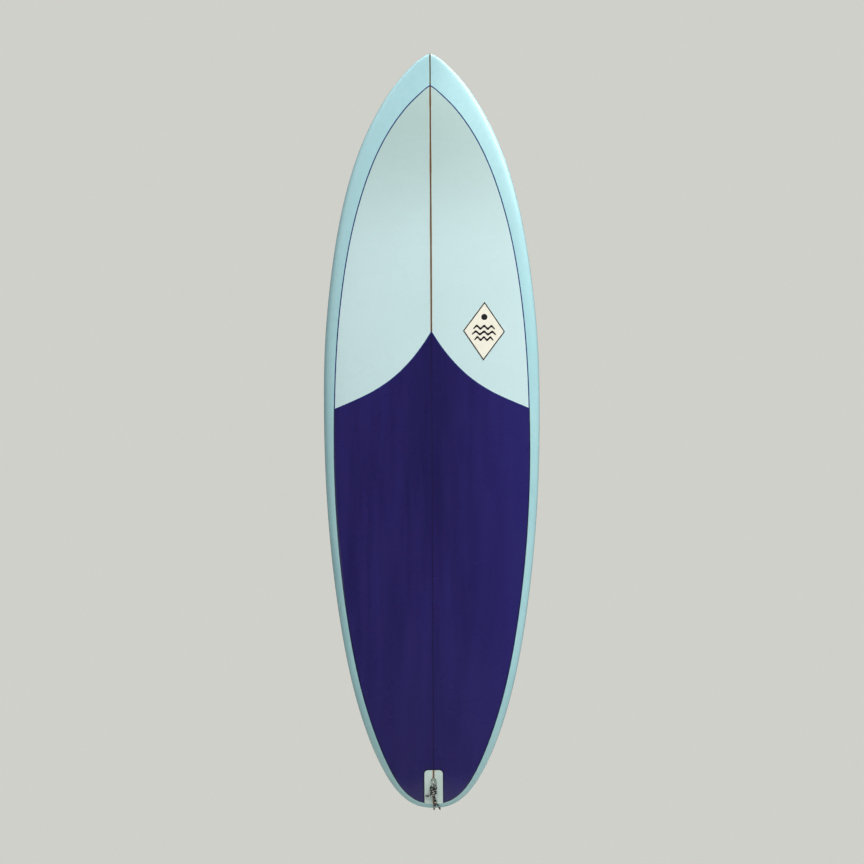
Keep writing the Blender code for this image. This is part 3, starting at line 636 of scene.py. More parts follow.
def smudged(look, low, high):
    """Roughness that varies in soft patches."""
    return look.ramp(look.noise(0.09, 4.0), 0.3, 0.75, low, high)


def woven(look, tint, share, thread, low, high):
    """A lamination whose cloth shows faintly through the resin; low and high are its roughness."""
    weave = look.weave(WEAVE_PITCH)
    tint = look.mix(look.math("MULTIPLY", weave, share), tint, thread)
    return gloss(look, tint, smudged(look, low, high), look.bump(weave, WEAVE_RELIEF))


def blue_laminate():
    look = Look("blue_tinted_glass")
    tint = look.mix(look.noise(0.16, 3.0), srgb(158, 205, 211), srgb(176, 219, 223))
    # Painted light: the lamination turns lighter towards the nose, whose rails catch the light from above.
    painted_nose_light = look.ramp(look.z, 0.0, 0.75)
    tint = look.mix(painted_nose_light, tint, srgb(177, 221, 227))
    # Painted highlight: the right side near the nose is made brighter, where the key light from the right
    # falls.
    painted_right_nose_light = look.math("MULTIPLY", look.ramp(look.x, -0.01, 0.07), look.ramp(look.z, 0.45, 0.80))
    tint = look.mix(painted_right_nose_light, tint, srgb(190, 235, 240))
    # Painted shade: darker and greyer towards the tail, whose rails get less light.
    towards_tail = look.ramp(look.z, -0.93, -0.55, 0.75, 0.0)
    tint = look.mix(towards_tail, tint, srgb(140, 174, 176))
    tint = look.mix(look.ramp(look.noise(0.012, 4.0, shift=7.0), 0.35, 0.8, 0.0, 0.12), tint,
                    srgb(140, 192, 200))
    return woven(look, tint, 0.06, srgb(205, 238, 240), 0.22, 0.36)


def clear_laminate(name, shallow, deep):
    """Clear glass over pale foam, with painted shade that turns it darker and a little greener towards the
    nose, which tilts down.
    """
    look = Look(name)
    foam = look.mix(look.noise(0.22, 3.0), shallow, deep)
    # Painted shade: darker and greener towards the down-tilted nose.
    foam = look.mix(look.ramp(look.z, 0.42, 0.80, 0.0, 0.85), foam, srgb(183, 208, 203))
    grain = look.noise(0.0035, 3.0, shift=3.0)
    foam = look.mix(look.ramp(grain, 0.4, 0.8, 0.0, 0.08), foam, srgb(172, 200, 198))
    return woven(look, foam, 0.05, srgb(222, 240, 238), 0.22, 0.34)


def indigo_laminate():
    look = Look("indigo_tinted_glass")
    broad = look.noise(0.030, 3.0, (1, 1, 9), 2.0)
    tint = look.mix(look.ramp(broad, 0.25, 0.75), srgb(29, 21, 84), srgb(38, 30, 99))
    # Painted light: lighter towards the right rail, where the key light falls.
    painted_right_light = look.ramp(look.x, 0.02, 0.25, 0.0, 0.8)
    tint = look.mix(painted_right_light, tint, srgb(38, 32, 105))
    near_apex = look.math("MULTIPLY", look.ramp(look.from_stringer, 0.0, 0.13, 0.6, 0.0),
                          look.ramp(look.z, -0.45, 0.15))
    tint = look.mix(near_apex, tint, srgb(22, 16, 70))
    fine = look.noise(0.007, 3.0, (1, 1, 26), 5.0)
    tint = look.mix(look.ramp(fine, 0.45, 0.8, 0.0, 0.22), tint, srgb(46, 40, 108))
    towards_tail = look.ramp(look.z, -0.86, -0.35, 0.45, 0.0)
    tint = look.mix(towards_tail, tint, srgb(41, 36, 92))
    over_stringer = look.ramp(look.from_stringer, 0.0009, 0.0021, 0.80, 0.0)
    tint = look.mix(over_stringer, tint, srgb(22, 17, 58))
    return woven(look, tint, 0.05, srgb(66, 58, 132), 0.24, 0.38)


def navy_line(name, forward_colour, tail_colour):
    """Pigmented resin, deeper beside the tail panel than along the pale one."""
    look = Look(name)
    forward = look.ramp(look.z, PANEL_CORNER_Z - 0.01, PANEL_CORNER_Z + 0.01)
    ink = look.mix(forward, tail_colour, forward_colour)
    ink = look.mix(look.ramp(look.noise(0.03, 3.0), 0.35, 0.75, 0.0, 0.3), ink, srgb(40, 44, 104))
    return gloss(look, ink, smudged(look, 0.22, 0.34), look.bump(look.noise(0.004), 0.00002))


def stringer_look(name, core, vein):
    """Wood seen through the glass, its grain along the board."""
    look = Look(name)
    grain = look.noise(0.0006, 4.0, (1, 1, 60))
    wood = look.mix(look.ramp(grain, 0.35, 0.7), core, vein)
    wood = look.mix(look.ramp(look.noise(0.05, 3.0), 0.4, 0.75, 0.0, 0.35), wood, vein)
    return gloss(look, wood, smudged(look, 0.24, 0.36), look.bump(grain, 0.00002))


def glue_look(name, pale, stained):
    look = Look(name)
    patch = look.noise(0.02, 4.0, (1, 1, 3))
    glue = look.mix(look.ramp(patch, 0.4, 0.7), pale, stained)
    return gloss(look, glue, smudged(look, 0.24, 0.36), look.bump(patch, 0.00002))


def foam_look():
    look = Look("foam_blank")
    cells = look.noise(0.0012, 4.0)
    colour = look.mix(look.ramp(cells, 0.35, 0.7), srgb(236, 232, 214), srgb(247, 244, 231))
    return look.finish(Base_Color=colour, Roughness=look.ramp(cells, 0.3, 0.7, 0.8, 0.95),
                       Normal=look.bump(cells, 0.0002))


def decal_look():
    look = Look("decal_paper")
    fibre = look.noise(0.0016, 5.0)
    cream = look.mix(look.ramp(fibre, 0.35, 0.75), srgb(250, 247, 232), srgb(240, 236, 218))
    cream = look.mix(look.ramp(look.noise(0.03), 0.45, 0.8, 0.0, 0.35), cream, srgb(236, 229, 205))
    return gloss(look, cream, smudged(look, 0.25, 0.4), look.bump(fibre, 0.00002))


def ink_look():
    look = Look("decal_ink")
    spread = look.noise(0.002, 4.0)
    ink = look.mix(look.ramp(spread, 0.35, 0.75), srgb(24, 24, 26), srgb(46, 45, 46))
    return gloss(look, ink, smudged(look, 0.25, 0.4), look.bump(spread, 0.00002))


def resin_look():
    """Fibreglass roving wetted out with clear resin."""
    look = Look("loop_fibreglass")
    fibres = look.noise(0.0009, 4.0, (1, 5, 5))
    colour = look.mix(look.ramp(fibres, 0.35, 0.7), srgb(206, 218, 212), srgb(232, 240, 236))
    return look.finish(Base_Color=colour, Roughness=look.ramp(fibres, 0.3, 0.8, 0.12, 0.26),
                       Normal=look.bump(fibres, 0.00006), IOR=1.2, Transmission_Weight=0.85)


def cord_look():
    """Black braid with a few white carriers and painted shade in the grooves between its pads; the
    attributes are set on the cord's mesh.
    """
    look = Look("flecked_cord")
    fuzz = look.noise(0.0004, 4.0)
    black = look.mix(fuzz, srgb(8, 8, 9), srgb(30, 31, 30))
    white = look.mix(fuzz, srgb(250, 251, 244), srgb(205, 208, 198))
    yarn = look.mix(look.ramp(look.attribute("tracer"), 0.4, 0.6), black, white)
    # Painted shade: where the lift attribute, the height of the braid's pads, is low, the yarn is darkened
    # to black.
    colour = look.mix(look.ramp(look.attribute("lift"), 0.0, 0.55, 0.65, 0.0), yarn, srgb(8, 8, 9))
    return look.finish(Base_Color=colour, Roughness=look.ramp(fuzz, 0.3, 0.8, 0.5, 0.8),
                       Normal=look.bump(fuzz, 0.0001), Sheen_Weight=0.08, Sheen_Roughness=0.4)


def plastic_look():
    look = Look("box_plastic")
    sanding = look.noise(0.0009, 4.0, (1, 1, 8))
    colour = look.mix(look.ramp(sanding, 0.4, 0.8), srgb(20, 20, 22), srgb(44, 44, 47))
    return look.finish(Base_Color=colour, Roughness=look.ramp(sanding, 0.3, 0.8, 0.38, 0.6),
                       Normal=look.bump(sanding, 0.00004))


def fin_look():
    """Solid fibreglass, whose cut layers show as soft contour bands on the foil."""
    look = Look("fin_fibreglass")
    layers = look.math("MULTIPLY", look.attribute("layer"), 9.0)
    bands = look.math("SINE", look.math("ADD", layers, look.math("MULTIPLY", look.noise(0.02), 1.5)))
    colour = look.mix(look.ramp(bands, -0.4, 0.9, 0.0, 0.5), srgb(58, 84, 110), srgb(88, 118, 142))
    thin = look.ramp(look.attribute("layer"), 0.0, 0.35, 0.65, 0.0)
    colour = look.mix(thin, colour, srgb(122, 150, 168))
    weave = look.weave(0.0016)
    colour = look.mix(look.math("MULTIPLY", weave, 0.12), colour, srgb(150, 175, 188))
    return look.finish(Base_Color=colour, Roughness=smudged(look, 0.1, 0.2), IOR=1.52,
                       Normal=look.bump(weave, 0.00003), Coat_Weight=0.5, Coat_Roughness=0.05)


def metal_look(name, dark, light, low, high):
    look = Look(name)
    tooling = look.noise(0.0012, 4.0, (1, 6, 1))
    colour = look.mix(tooling, dark, light)
    return look.finish(Base_Color=colour, Metallic=1.0, Roughness=look.ramp(tooling, 0.3, 0.8, low, high),
                       Normal=look.bump(tooling, 0.00002))


def floor_look():
    """Pale matt paint, which fades out into the backdrop."""
    look = Look("floor_paint")
    away = look.add("ShaderNodeVectorMath", {0: look.place}, operation="LENGTH").outputs["Value"]
    colour = look.mix(look.noise(0.5, 3.0), srgb(196, 196, 190), srgb(202, 202, 196))
    return look.finish(Base_Color=colour, Roughness=0.9, Specular_IOR_Level=0.1,
                       Alpha=look.ramp(away, FLOOR_RADIUS * 0.25, FLOOR_RADIUS * 0.95, 1.0, 0.0))


# ---------------------------------------------------------------- camera, light and floor
def make_camera():
    data = bpy.data.cameras.new("camera")
    data.sensor_width = SENSOR
    data.lens = SENSOR * VIEW_DISTANCE / VIEW_HEIGHT
    data.clip_end = 2 * VIEW_DISTANCE
    camera = bpy.data.objects.new("camera", data)
    camera.location = (VIEW_CENTRE[0], -VIEW_DISTANCE, VIEW_CENTRE[1])
    camera.rotation_euler = (math.pi / 2, VIEW_ROLL, 0)
    bpy.context.scene.collection.objects.link(camera)
    bpy.context.scene.camera = camera


def make_softbox(name, azimuth, elevation, distance, size, power, glossy=True):
    """An area light that faces the board; azimuth 0 is in front of the deck and 90 is to its right."""
    turn, rise = math.radians(azimuth), math.radians(elevation)
    away = Vector((math.sin(turn) * math.cos(rise), -math.cos(turn) * math.cos(rise), math.sin(rise)))
    data = bpy.data.lights.new(name, "AREA")
    data.shape = "RECTANGLE"
    data.size, data.size_y = size
    data.energy = power
    lamp = bpy.data.objects.new(name, data)
    lamp.location = away * distance
    lamp.rotation_euler = away.to_track_quat("Z", "Y").to_euler()
    lamp.visible_camera = False
    lamp.visible_glossy = glossy
    bpy.context.scene.collection.objects.link(lamp)


def make_world():
    """A dim studio with a bright ceiling for light and reflections, and a plain pale backdrop to see."""
    world = bpy.data.worlds.new("studio")
    world.use_nodes = True
    bpy.context.scene.world = world
    nodes, links = world.node_tree.nodes, world.node_tree.links
    nodes.clear()
    kinds = ("TexCoord", "SeparateXYZ", "MapRange", "ValToRGB", "Background", "Background", "LightPath",
             "MixShader", "OutputWorld")
    way, parts, height, ramp, studio, backdrop, ray, choose, output = [nodes.new("ShaderNode" + kind)
                                                                       for kind in kinds]
    height.inputs[1].default_value = -1.0
    ramp.color_ramp.elements[0].color = (0.16, 0.16, 0.155, 1)
    ramp.color_ramp.elements[1].color = (0.50, 0.51, 0.52, 1)
    for place, grey in ((0.42, 0.11), (0.58, 0.12), (0.78, 0.32)):
        stop = ramp.color_ramp.elements.new(place)
        stop.color = (grey, grey, grey, 1)
    backdrop.inputs[0].default_value = srgb(208, 208, 202)
    wires = ((way, "Generated", parts, 0), (parts, "Z", height, 0), (height, 0, ramp, 0),
             (ramp, 0, studio, 0), (ray, "Is Camera Ray", choose, 0), (studio, 0, choose, 1),
             (backdrop, 0, choose, 2), (choose, 0, output, 0))
    for source, out, target, into in wires:
        links.new(source.outputs[out], target.inputs[into])


def make_floor():
    bm = bmesh.new()
    bmesh.ops.create_circle(bm, cap_ends=True, segments=96, radius=FLOOR_RADIUS)
    mesh = bpy.data.meshes.new("floor")
    bm.to_mesh(mesh)
    bm.free()
    mesh.materials.append(floor_look())
    floor = bpy.data.objects.new("floor", mesh)
    floor.location = (0, 0, cad_box[0].z - FLOOR_DROP)
    bpy.context.scene.collection.objects.link(floor)


# ---------------------------------------------------------------- leash loop and cord
def leash_frame():
    """A frame on the deck at the loop: Y out of the deck, Z forward, so X points to the left rail."""
    line = section_lines(outline_length, 1)
    middle = float(line.centre_z[0, 0]) - LEASH_Z
    step = 0.012
    back, foot, ahead = [Vector(skin(line, "deck", middle + along)[0, 0]) for along in (step, 0.0, -step)]
    forward = (ahead - back).normalized()
    across = Vector((-1.0, 0.0, 0.0))
    turn = Matrix((across, forward.cross(across), forward)).transposed().to_4x4()
    return Matrix.Translation(foot) @ turn


def string_route():
    """The string's route points, in metres in the leash frame."""
    wraps = []
    for k in range(1, 8 * WRAP_TURNS + 1):
        angle = math.pi + math.tau * k / 8
        wraps.append((WRAP_HALF_WIDTH * math.cos(angle), WRAP_LIFT + WRAP_HALF_HEIGHT * math.sin(angle),
                      WRAP_START + WRAP_PITCH * k / 8))
    route = list(ROUTE_BEFORE) + wraps + list(ROUTE_AFTER)
    return [(-across / 1000, lift / 1000, forward / 1000) for across, lift, forward in route]


def carried_frames(points):
    """Two directions square to a path at each of its points, carried along without twist."""
    ways = np.gradient(points, axis=0)
    ways /= np.linalg.norm(ways, axis=1)[:, None]
    side = np.cross(ways[0], (0.0, 0.0, 1.0))
    sides = []
    for way in ways:
        side = side - way * np.dot(side, way)
        side = side / np.linalg.norm(side)
        sides.append(side)
    sides = np.array(sides)
    return sides, np.cross(ways, sides)


def rings_around(points, angles, wide, thick):
    """Rings of points around a path, as wide as given to its carried side and as thick across that."""
    sides, ups = carried_frames(points)
    outward = (sides[:, None] * (wide * np.cos(angles))[..., None]
               + ups[:, None] * (thick * np.sin(angles))[..., None])
    return points[:, None] + outward


def tube_mesh(tube, **attributes):
    """A bmesh of rings of points with its ends closed; attributes hold a value for each point."""
    rows, sides = tube.shape[:2]
    index = np.arange(rows * sides).reshape(rows, sides)
    after = np.roll(index, -1, axis=1)
    faces = np.stack((index[:-1], after[:-1], after[1:], index[1:]), axis=-1).reshape(-1, 4).tolist()
    faces += [index[0, ::-1].tolist(), index[-1].tolist()]
    mesh = bpy.data.meshes.new("tube")
    mesh.from_pydata(tube.reshape(-1, 3).tolist(), [], faces)
    for name, values in attributes.items():
        mesh.attributes.new(name, "FLOAT", "POINT").data.foreach_set("value", values.ravel())
    bm = bmesh.new()
    bm.from_mesh(mesh)
    bpy.data.meshes.remove(mesh)
    bmesh.ops.recalc_face_normals(bm, faces=bm.faces)
    return bm


def make_cord(matrix, look):
    """The braided string: each carrier passes over and under those that run the other way."""
    read, length = path_through(string_route())
    count = round(length / CORD_STEP)
    points = np.array([matrix @ Vector(point) for point in read(np.linspace(0, length, count + 1))])
    run = np.concatenate(([0.0], np.cumsum(np.linalg.norm(np.diff(points, axis=0), axis=1))))
    angles = np.linspace(0, math.tau, CORD_SIDES, endpoint=False)
    turn, along = np.meshgrid(angles / math.tau, run / BRAID_LAY)
    right_hand = BRAID_CARRIERS * (turn + along)
    left_hand = BRAID_CARRIERS * (turn - along)
    pads = np.abs(np.sin(np.pi * right_hand) * np.sin(np.pi * left_hand)) ** 0.6
    right_on_top = (np.floor(right_hand) + np.floor(left_hand)) % 2 == 0
    carrier = np.where(right_on_top, np.floor(right_hand) % BRAID_CARRIERS, BRAID_CARRIERS)
    tracer = (carrier < TRACER_CARRIERS).astype(float)
    end_round = np.sqrt(np.clip(np.minimum(run, run[-1] - run) / 0.0012, 0.0, 1.0))
    end_round = 0.25 + 0.75 * end_round[:, None]
    radius = (STRING_RADIUS - BRAID_RELIEF * 0.6 + BRAID_RELIEF * pads) * end_round
    # The lift attribute carries the pads' height, which the cord's material turns into painted shade in the
    # grooves.
    bm = tube_mesh(rings_around(points, angles, radius, radius), tracer=tracer, lift=pads)
    cord = piece("leash_cord", bm, look, stands_for=("leash_string",),
                 angle=math.radians(60))


def make_loop(matrix, look):
    """An arch of roving and resin along the stringer, flared and filleted where it meets the deck."""
    turn = np.linspace(0, math.pi, 73)
    lift = LOOP_FOOT + (LOOP_HEIGHT - LOOP_FOOT) * np.sin(turn)
    along = LOOP_SPAN / 2 * np.cos(turn)
    lift = np.concatenate(([-LOOP_SUNK], lift, [-LOOP_SUNK]))
    along = np.concatenate((along[:1], along, along[-1:]))
    points = np.stack((0 * lift, lift, LOOP_CENTRE + along), axis=-1)
    flare = np.exp(-np.maximum(lift, 0) / LOOP_FLARE_HEIGHT)[:, None]
    angles = np.linspace(0, math.tau, 48, endpoint=False)
    strands = LOOP_RIDGE * np.sin(11 * angles) * np.sin(0.9 + 1.5 * math.pi * lift[:, None] / 0.004)
    wide = LOOP_RADIUS + 0.0003 + LOOP_FLARE[0] * flare + strands
    thick = LOOP_RADIUS - 0.0004 + LOOP_FLARE[1] * flare + strands
    bm = tube_mesh(rings_around(points, angles, wide, thick))
    piece("leash_loop_glass", bm, look, stands_for=("leash_loop",), matrix=matrix)


def make_mound(look):
    """The patch of cloth and resin that holds the loop down: a low dome, thinning to its rim."""
    deck = deck_tree(tail_side(PLACES[CORNER:], deck_row))
    middle = LEASH_Z + LOOP_CENTRE
    angles = np.linspace(0, math.tau, 65)
    rings = [(share, MOUND_HEIGHT * (1 - share ** 2) ** 2) for share in np.linspace(0.001, 1, 20)]
    rings += [(1.0, -0.0003), (0.5, -0.0003), (0.001, -0.0003)]

    def laid(angle, share, lift):
        x = MOUND_HALF[0] * share * math.cos(angle)
        z = middle + MOUND_HALF[1] * share * math.sin(angle)
        place, _, _, _ = deck.ray_cast(Vector((x, -1, z)), Vector((0, 1, 0)))
        return place - Vector((0, lift, 0))

    points = np.array([[laid(angle, share, lift) for angle in angles] for share, lift in rings])
    bm = grid_mesh(points)
    bmesh.ops.recalc_face_normals(bm, faces=bm.faces)
    piece("leash_loop_mound", bm, look)


# ---------------------------------------------------------------- outlines and blocks
def rounded_outline(length, width, radius):
    """Points (x, z) of a rounded rectangle, length along Z."""
    points = []
    for corner, (sign_x, sign_z) in enumerate(((1, 1), (-1, 1), (-1, -1), (1, -1))):
        centre = Vector((sign_x * (width / 2 - radius), sign_z * (length / 2 - radius)))
        for k in range(11):
            angle = (corner + k / 10) * math.pi / 2
            points.append(centre + radius * Vector((math.cos(angle), math.sin(angle))))
    return points


def prism(points, low, high, centre=(0.0, 0.0)):
    """An outline of (x, z) points extruded along Y."""
    bm = bmesh.new()
    base = [bm.verts.new((x + centre[0], low, z + centre[1])) for x, z in points]
    face = bm.faces.new(base)
    grown = bmesh.ops.extrude_face_region(bm, geom=[face])
    top = [item for item in grown["geom"] if isinstance(item, bmesh.types.BMVert)]
    bmesh.ops.translate(bm, vec=(0, high - low, 0), verts=top)
    bmesh.ops.recalc_face_normals(bm, faces=bm.faces)
    return bm


def block(low, high):
    bm = bmesh.new()
    low, high = Vector(low), Vector(high)
    bmesh.ops.create_cube(bm, size=1.0)
    bmesh.ops.scale(bm, vec=high - low, verts=bm.verts)
    bmesh.ops.translate(bm, vec=(low + high) / 2, verts=bm.verts)
    return bm


def rod(radius, start, end, sides=32):
    """A cylinder between two points."""
    start, end = Vector(start), Vector(end)
    bm = bmesh.new()
    bmesh.ops.create_cone(bm, cap_ends=True, segments=sides, radius1=radius, radius2=radius,
                          depth=(end - start).length)
    turn = (end - start).to_track_quat("Z", "Y").to_matrix().to_4x4()
    bmesh.ops.transform(bm, matrix=Matrix.Translation((start + end) / 2) @ turn, verts=bm.verts)
    return bm


def turned(profile):
    """A profile of (radius, height) points turned about Y."""
    bm = bmesh.new()
    verts = [bm.verts.new((radius, height, 0.0)) for radius, height in profile]
    edges = [bm.edges.new(pair) for pair in zip(verts, verts[1:])]
    bmesh.ops.spin(bm, geom=verts + edges, cent=(0, 0, 0), axis=(0, 1, 0), angle=math.tau,
                   steps=40, use_merge=True)
    bmesh.ops.remove_doubles(bm, verts=bm.verts, dist=1e-6)
    bmesh.ops.recalc_face_normals(bm, faces=bm.faces)
    return bm


def bottom_frame(x, z, toe_in=0.0):
    """A frame on the bottom: Y out of it, Z forward along it, turned about Y by the toe-in."""
    step = 0.001
    slope = -float(rocker(z + step) - rocker(z - step)) / (2 * step)
    tilt = Matrix.Rotation(-math.atan(slope), 4, "X")
    return Matrix.Translation((x, -float(rocker(z)), z)) @ tilt @ Matrix.Rotation(toe_in, 4, "Y")


CENTRE_FRAME = bottom_frame(0.0, CENTRE_BOX_Z)
SIDES = {"left": -1, "right": 1}
SIDE_FRAMES = {name: bottom_frame(side * SIDE_BOX_X, SIDE_BOX_Z, -side * SIDE_TOE_IN)
               for name, side in SIDES.items()}


# ---------------------------------------------------------------- board skins
def pocket(name, box, radius, matrix):
    length, width, depth = box
    shape = rounded_outline(length + 2 * GAP, width + 2 * GAP, radius + GAP)
    return tool(name, prism(shape, -depth, 0.02), matrix)


def window_prism(name, grow):
    """A tall rounded block whose upper end is the window's, and whose lower end passes the tail."""
    top = WINDOW_TOP_Z + grow
    bottom = -HALF_LENGTH - 0.02
    shape = rounded_outline(top - bottom, WINDOW_WIDTH + 2 * grow, WINDOW_RADIUS + grow)
    return tool(name, prism(shape, -0.2, 0.0, (0.0, (top + bottom) / 2)))


def stripes(points):
    """A skin in three bmeshes: over the stringer, over its glue lines, and the rest."""
    bm = grid_mesh(points)
    face_out(bm)
    cut_along_stringer(bm)
    bounds = (0, STRINGER_HALF, GLUE_HALF, 1)
    parts = [taken(bm, low, high) for low, high in zip(bounds, bounds[1:])]
    bm.free()
    return parts


def make_bottom(blue, wood, glue):
    core, lines, rest = stripes(both_sides(PLACES, bottom_row))
    pockets = [pocket("centre_pocket", CENTRE_BOX, CENTRE_CORNER, CENTRE_FRAME)]
    pockets += [pocket("side_pocket_" + name, SIDE_BOX, SIDE_CORNER, matrix)
                for name, matrix in SIDE_FRAMES.items()]
    made = (piece("bottom_lamination", rest, blue, stands_for=("bottom_glass",)),
            piece("stringer_line_tint", core, wood),
            piece("glue_lines_tint", lines, glue))
    for item in made:
        thicken(item)
        for cutter in pockets:
            combine(item, cutter)
    for item in made:
        settle(item)
    remove(pockets)


def make_forward_panel(clear, wood, glue):
    core, lines, rest = stripes(both_sides(PLACES[:CORNER + 1], deck_row))
    made = [piece("forward_panel", rest, clear, stands_for=("deck_glass_forward",)),
            piece("stringer_line_deck", core, wood),
            piece("glue_lines_deck", lines, glue)]
    for item in made:
        thicken(item)
        settle(item)


def make_pinline(look):
    """The line stops at both sides of the tail window, which reaches the lap."""
    bm = grid_mesh(both_sides(PLACES, pinline_row))
    face_out(bm)
    made = piece("deck_pinline", bm, look, stands_for=("pinline",))
    thicken(made)
    opening = window_prism("opening", 0.0)
    combine(made, opening)
    remove(settle(made))


def make_edge_line(look):
    """The dark line where the tail panel was cut along its forward edge."""
    def strip(side):
        lines = section_lines(PLACES[CORNER], side)
        return np.concatenate((edge_shift(lines, 0.0), edge_shift(lines, EDGE_LINE_WIDTH)))

    left, right = strip(-1), strip(1)
    bm = grid_mesh(np.concatenate((left, right[:, -2::-1]), axis=1))
    face_out(bm)
    made = piece("panel_edge_line", bm, look)
    thicken(made)
    settle(made)


def make_tail(indigo, clear, navy, wood, glue):
    """The tail panel, its window, the dark line round the window and the stringer seen through it."""
    def row(lines):
        points = deck_row(lines)
        points[:1] = edge_shift(Lines(lines.side, *(column[:1] for column in lines[1:])), EDGE_LINE_WIDTH)
        return points

    def window_row(lines):
        return np.concatenate((pinline_row(lines)[:, :2], row(lines)), axis=1)

    def sheet(name, look, slot, stands_for=(), low=0.0, high=1.0, make_row=window_row):
        bm = grid_mesh(tail_side(PLACES[CORNER:], make_row))
        face_out(bm)
        if low or high < 1:
            cut_along_stringer(bm, WINDOW_CORE_HALF, WINDOW_GLUE_HALF)
            whole = bm
            bm = taken(whole, low, high)
            whole.free()
        made = piece(name, bm, look, stands_for=stands_for)
        thicken(made)
        return made

    opening = window_prism("opening", 0.0)
    border = window_prism("border", WINDOW_LINE_WIDTH)
    panel = sheet("tail_panel", indigo, "indigo_tinted_glass", ("deck_glass_tail",), make_row=row)
    combine(panel, border)
    line = sheet("window_edge_line", navy, "navy_resin", make_row=row)
    combine(line, border, "INTERSECT")
    combine(line, opening)
    window = sheet("window_glass", clear, "clear_deck_glass", ("leash_window",), WINDOW_GLUE_HALF, 1.0)
    core = sheet("stringer_line_window", wood, "stringer_wood", (), 0.0, WINDOW_CORE_HALF)
    lines = sheet("glue_lines_window", glue, "clear_deck_glass", (), WINDOW_CORE_HALF, WINDOW_GLUE_HALF)
    for item in (window, core, lines):
        combine(item, opening, "INTERSECT")
    for item in (panel, line, window, core, lines):
        settle(item)
    remove((opening, border))


# ---------------------------------------------------------------- decal
def make_decal(paper, ink):
    """A cream rhombus with a dark border, three waves and a disc, laid on the forward panel."""
    deck = deck_tree(both_sides(PLACES[:CORNER + 1], deck_row))
    turn = Matrix.Rotation(-DECAL_TILT, 2)

    def laid(u, v, lift):
        """A point of the decal; u and v are shares of its half width and half height."""
        spot = turn @ Vector((DECAL_HALF[0] * u, DECAL_HALF[1] * v))
        x, z = spot.x + DECAL_CENTRE[0], spot.y + DECAL_CENTRE[1]
        place, normal, _, _ = deck.ray_cast(Vector((x, -1, z)), Vector((0, 1, 0)))
        if normal.y > 0:
            normal = -normal
        return place + normal * lift

    def sheet(name, rows, look, lift, depth, stands_for=()):
        points = np.array([[laid(u, v, lift) for u, v in row] for row in rows])
        bm = grid_mesh(points)
        bm.normal_update()
        if sum(face.normal.y for face in bm.faces) > 0:
            bmesh.ops.reverse_faces(bm, faces=bm.faces)
        made = piece(name, bm, look, stands_for=stands_for)
        thicken(made, depth)
        settle(made)

    shares = np.linspace(0, 1, 33)
    sheet("decal_sheet", [[(a - b, a + b - 1) for b in shares] for a in shares], paper, PAPER_LIFT,
          PAPER_THICKNESS, ("deck_decal",))
    places = np.linspace(0, 4, 81)
    ring = [np.interp(places, range(5), corners) for corners in ((0, 1, 0, -1, 0), (1, 0, -1, 0, 1))]
    border = [[(u * size, v * size) for u, v in zip(*ring)] for size in BORDER_RINGS]
    sheet("decal_border", border, ink, INK_LIFT, INK_THICKNESS)
    places = np.linspace(-1, 1, 73)
    for k, (middle, half) in enumerate(WAVES):
        crest = [(place * half, middle + WAVE_HEIGHT * math.cos(3 * math.pi * place)) for place in places]
        width = [WAVE_HALF_WIDTH * math.sqrt(max(0.0, 1 - place ** 8)) for place in places]
        rows = [[(u, v + side * w) for (u, v), w in zip(crest, width)] for side in (-1, 0, 1)]
        sheet("decal_wave_%d" % (k + 1), rows, ink, INK_LIFT, INK_THICKNESS)
    angles = np.linspace(0, math.tau, 49)
    stretch = DECAL_HALF[0] / DECAL_HALF[1]
    disc = [[(size * math.cos(a), DISC_MIDDLE + size * stretch * math.sin(a)) for a in angles]
            for size in DISC_RINGS]
    sheet("decal_disc", disc, ink, INK_LIFT, INK_THICKNESS)


# ---------------------------------------------------------------- fins and boxes
def foil_half(share, peak):
    """Half thickness of a foil at a share of its chord."""
    shape = 2.969 * math.sqrt(share) - 1.26 * share - 3.516 * share ** 2
    shape += 2.843 * share ** 3 - 1.036 * share ** 4
    return peak * shape + 0.0003


def foil_blade(front, back, height, peak, inner_share, lean, side):
    """A lofted fin: front and back edges are functions of the share of the height."""
    chords = np.linspace(0, 1, 25) ** 1.6
    levels = 1 - np.linspace(1, 0, 49) ** 1.35
    bm = bmesh.new()
    rings = []
    for level in levels:
        lead, trail = float(front(level)), float(back(level))
        thick = peak * (1 - 0.72 * level)
        offset = side * math.tan(lean) * level * height
        outside = [(side * foil_half(s, thick), s) for s in chords]
        inside = [(-side * inner_share * foil_half(s, thick), s) for s in chords[-1:0:-1]]
        rings.append([bm.verts.new((x + offset, level * height + GAP, lead + (trail - lead) * s))
                      for x, s in outside + inside])
    for ring, after in zip(rings, rings[1:]):
        for k in range(len(ring)):
            nxt = (k + 1) % len(ring)
            bm.faces.new((ring[k], ring[nxt], after[nxt], after[k]))
    bm.faces.new(rings[0])
    bm.faces.new(rings[-1])
    bmesh.ops.recalc_face_normals(bm, faces=bm.faces)
    return bm


def mark_layers(made, matrix, lean, side, peak):
    """Stores how far each point is from the fin's mid-plane, as a share of its greatest half thickness."""
    back = matrix.inverted()
    values = []
    for vertex in made.data.vertices:
        spot = back @ vertex.co
        values.append(min(1.0, abs(spot.x - side * math.tan(lean) * max(spot.y, 0.0)) / peak))
    made.data.attributes.new("layer", "FLOAT", "POINT").data.foreach_set("value", values)


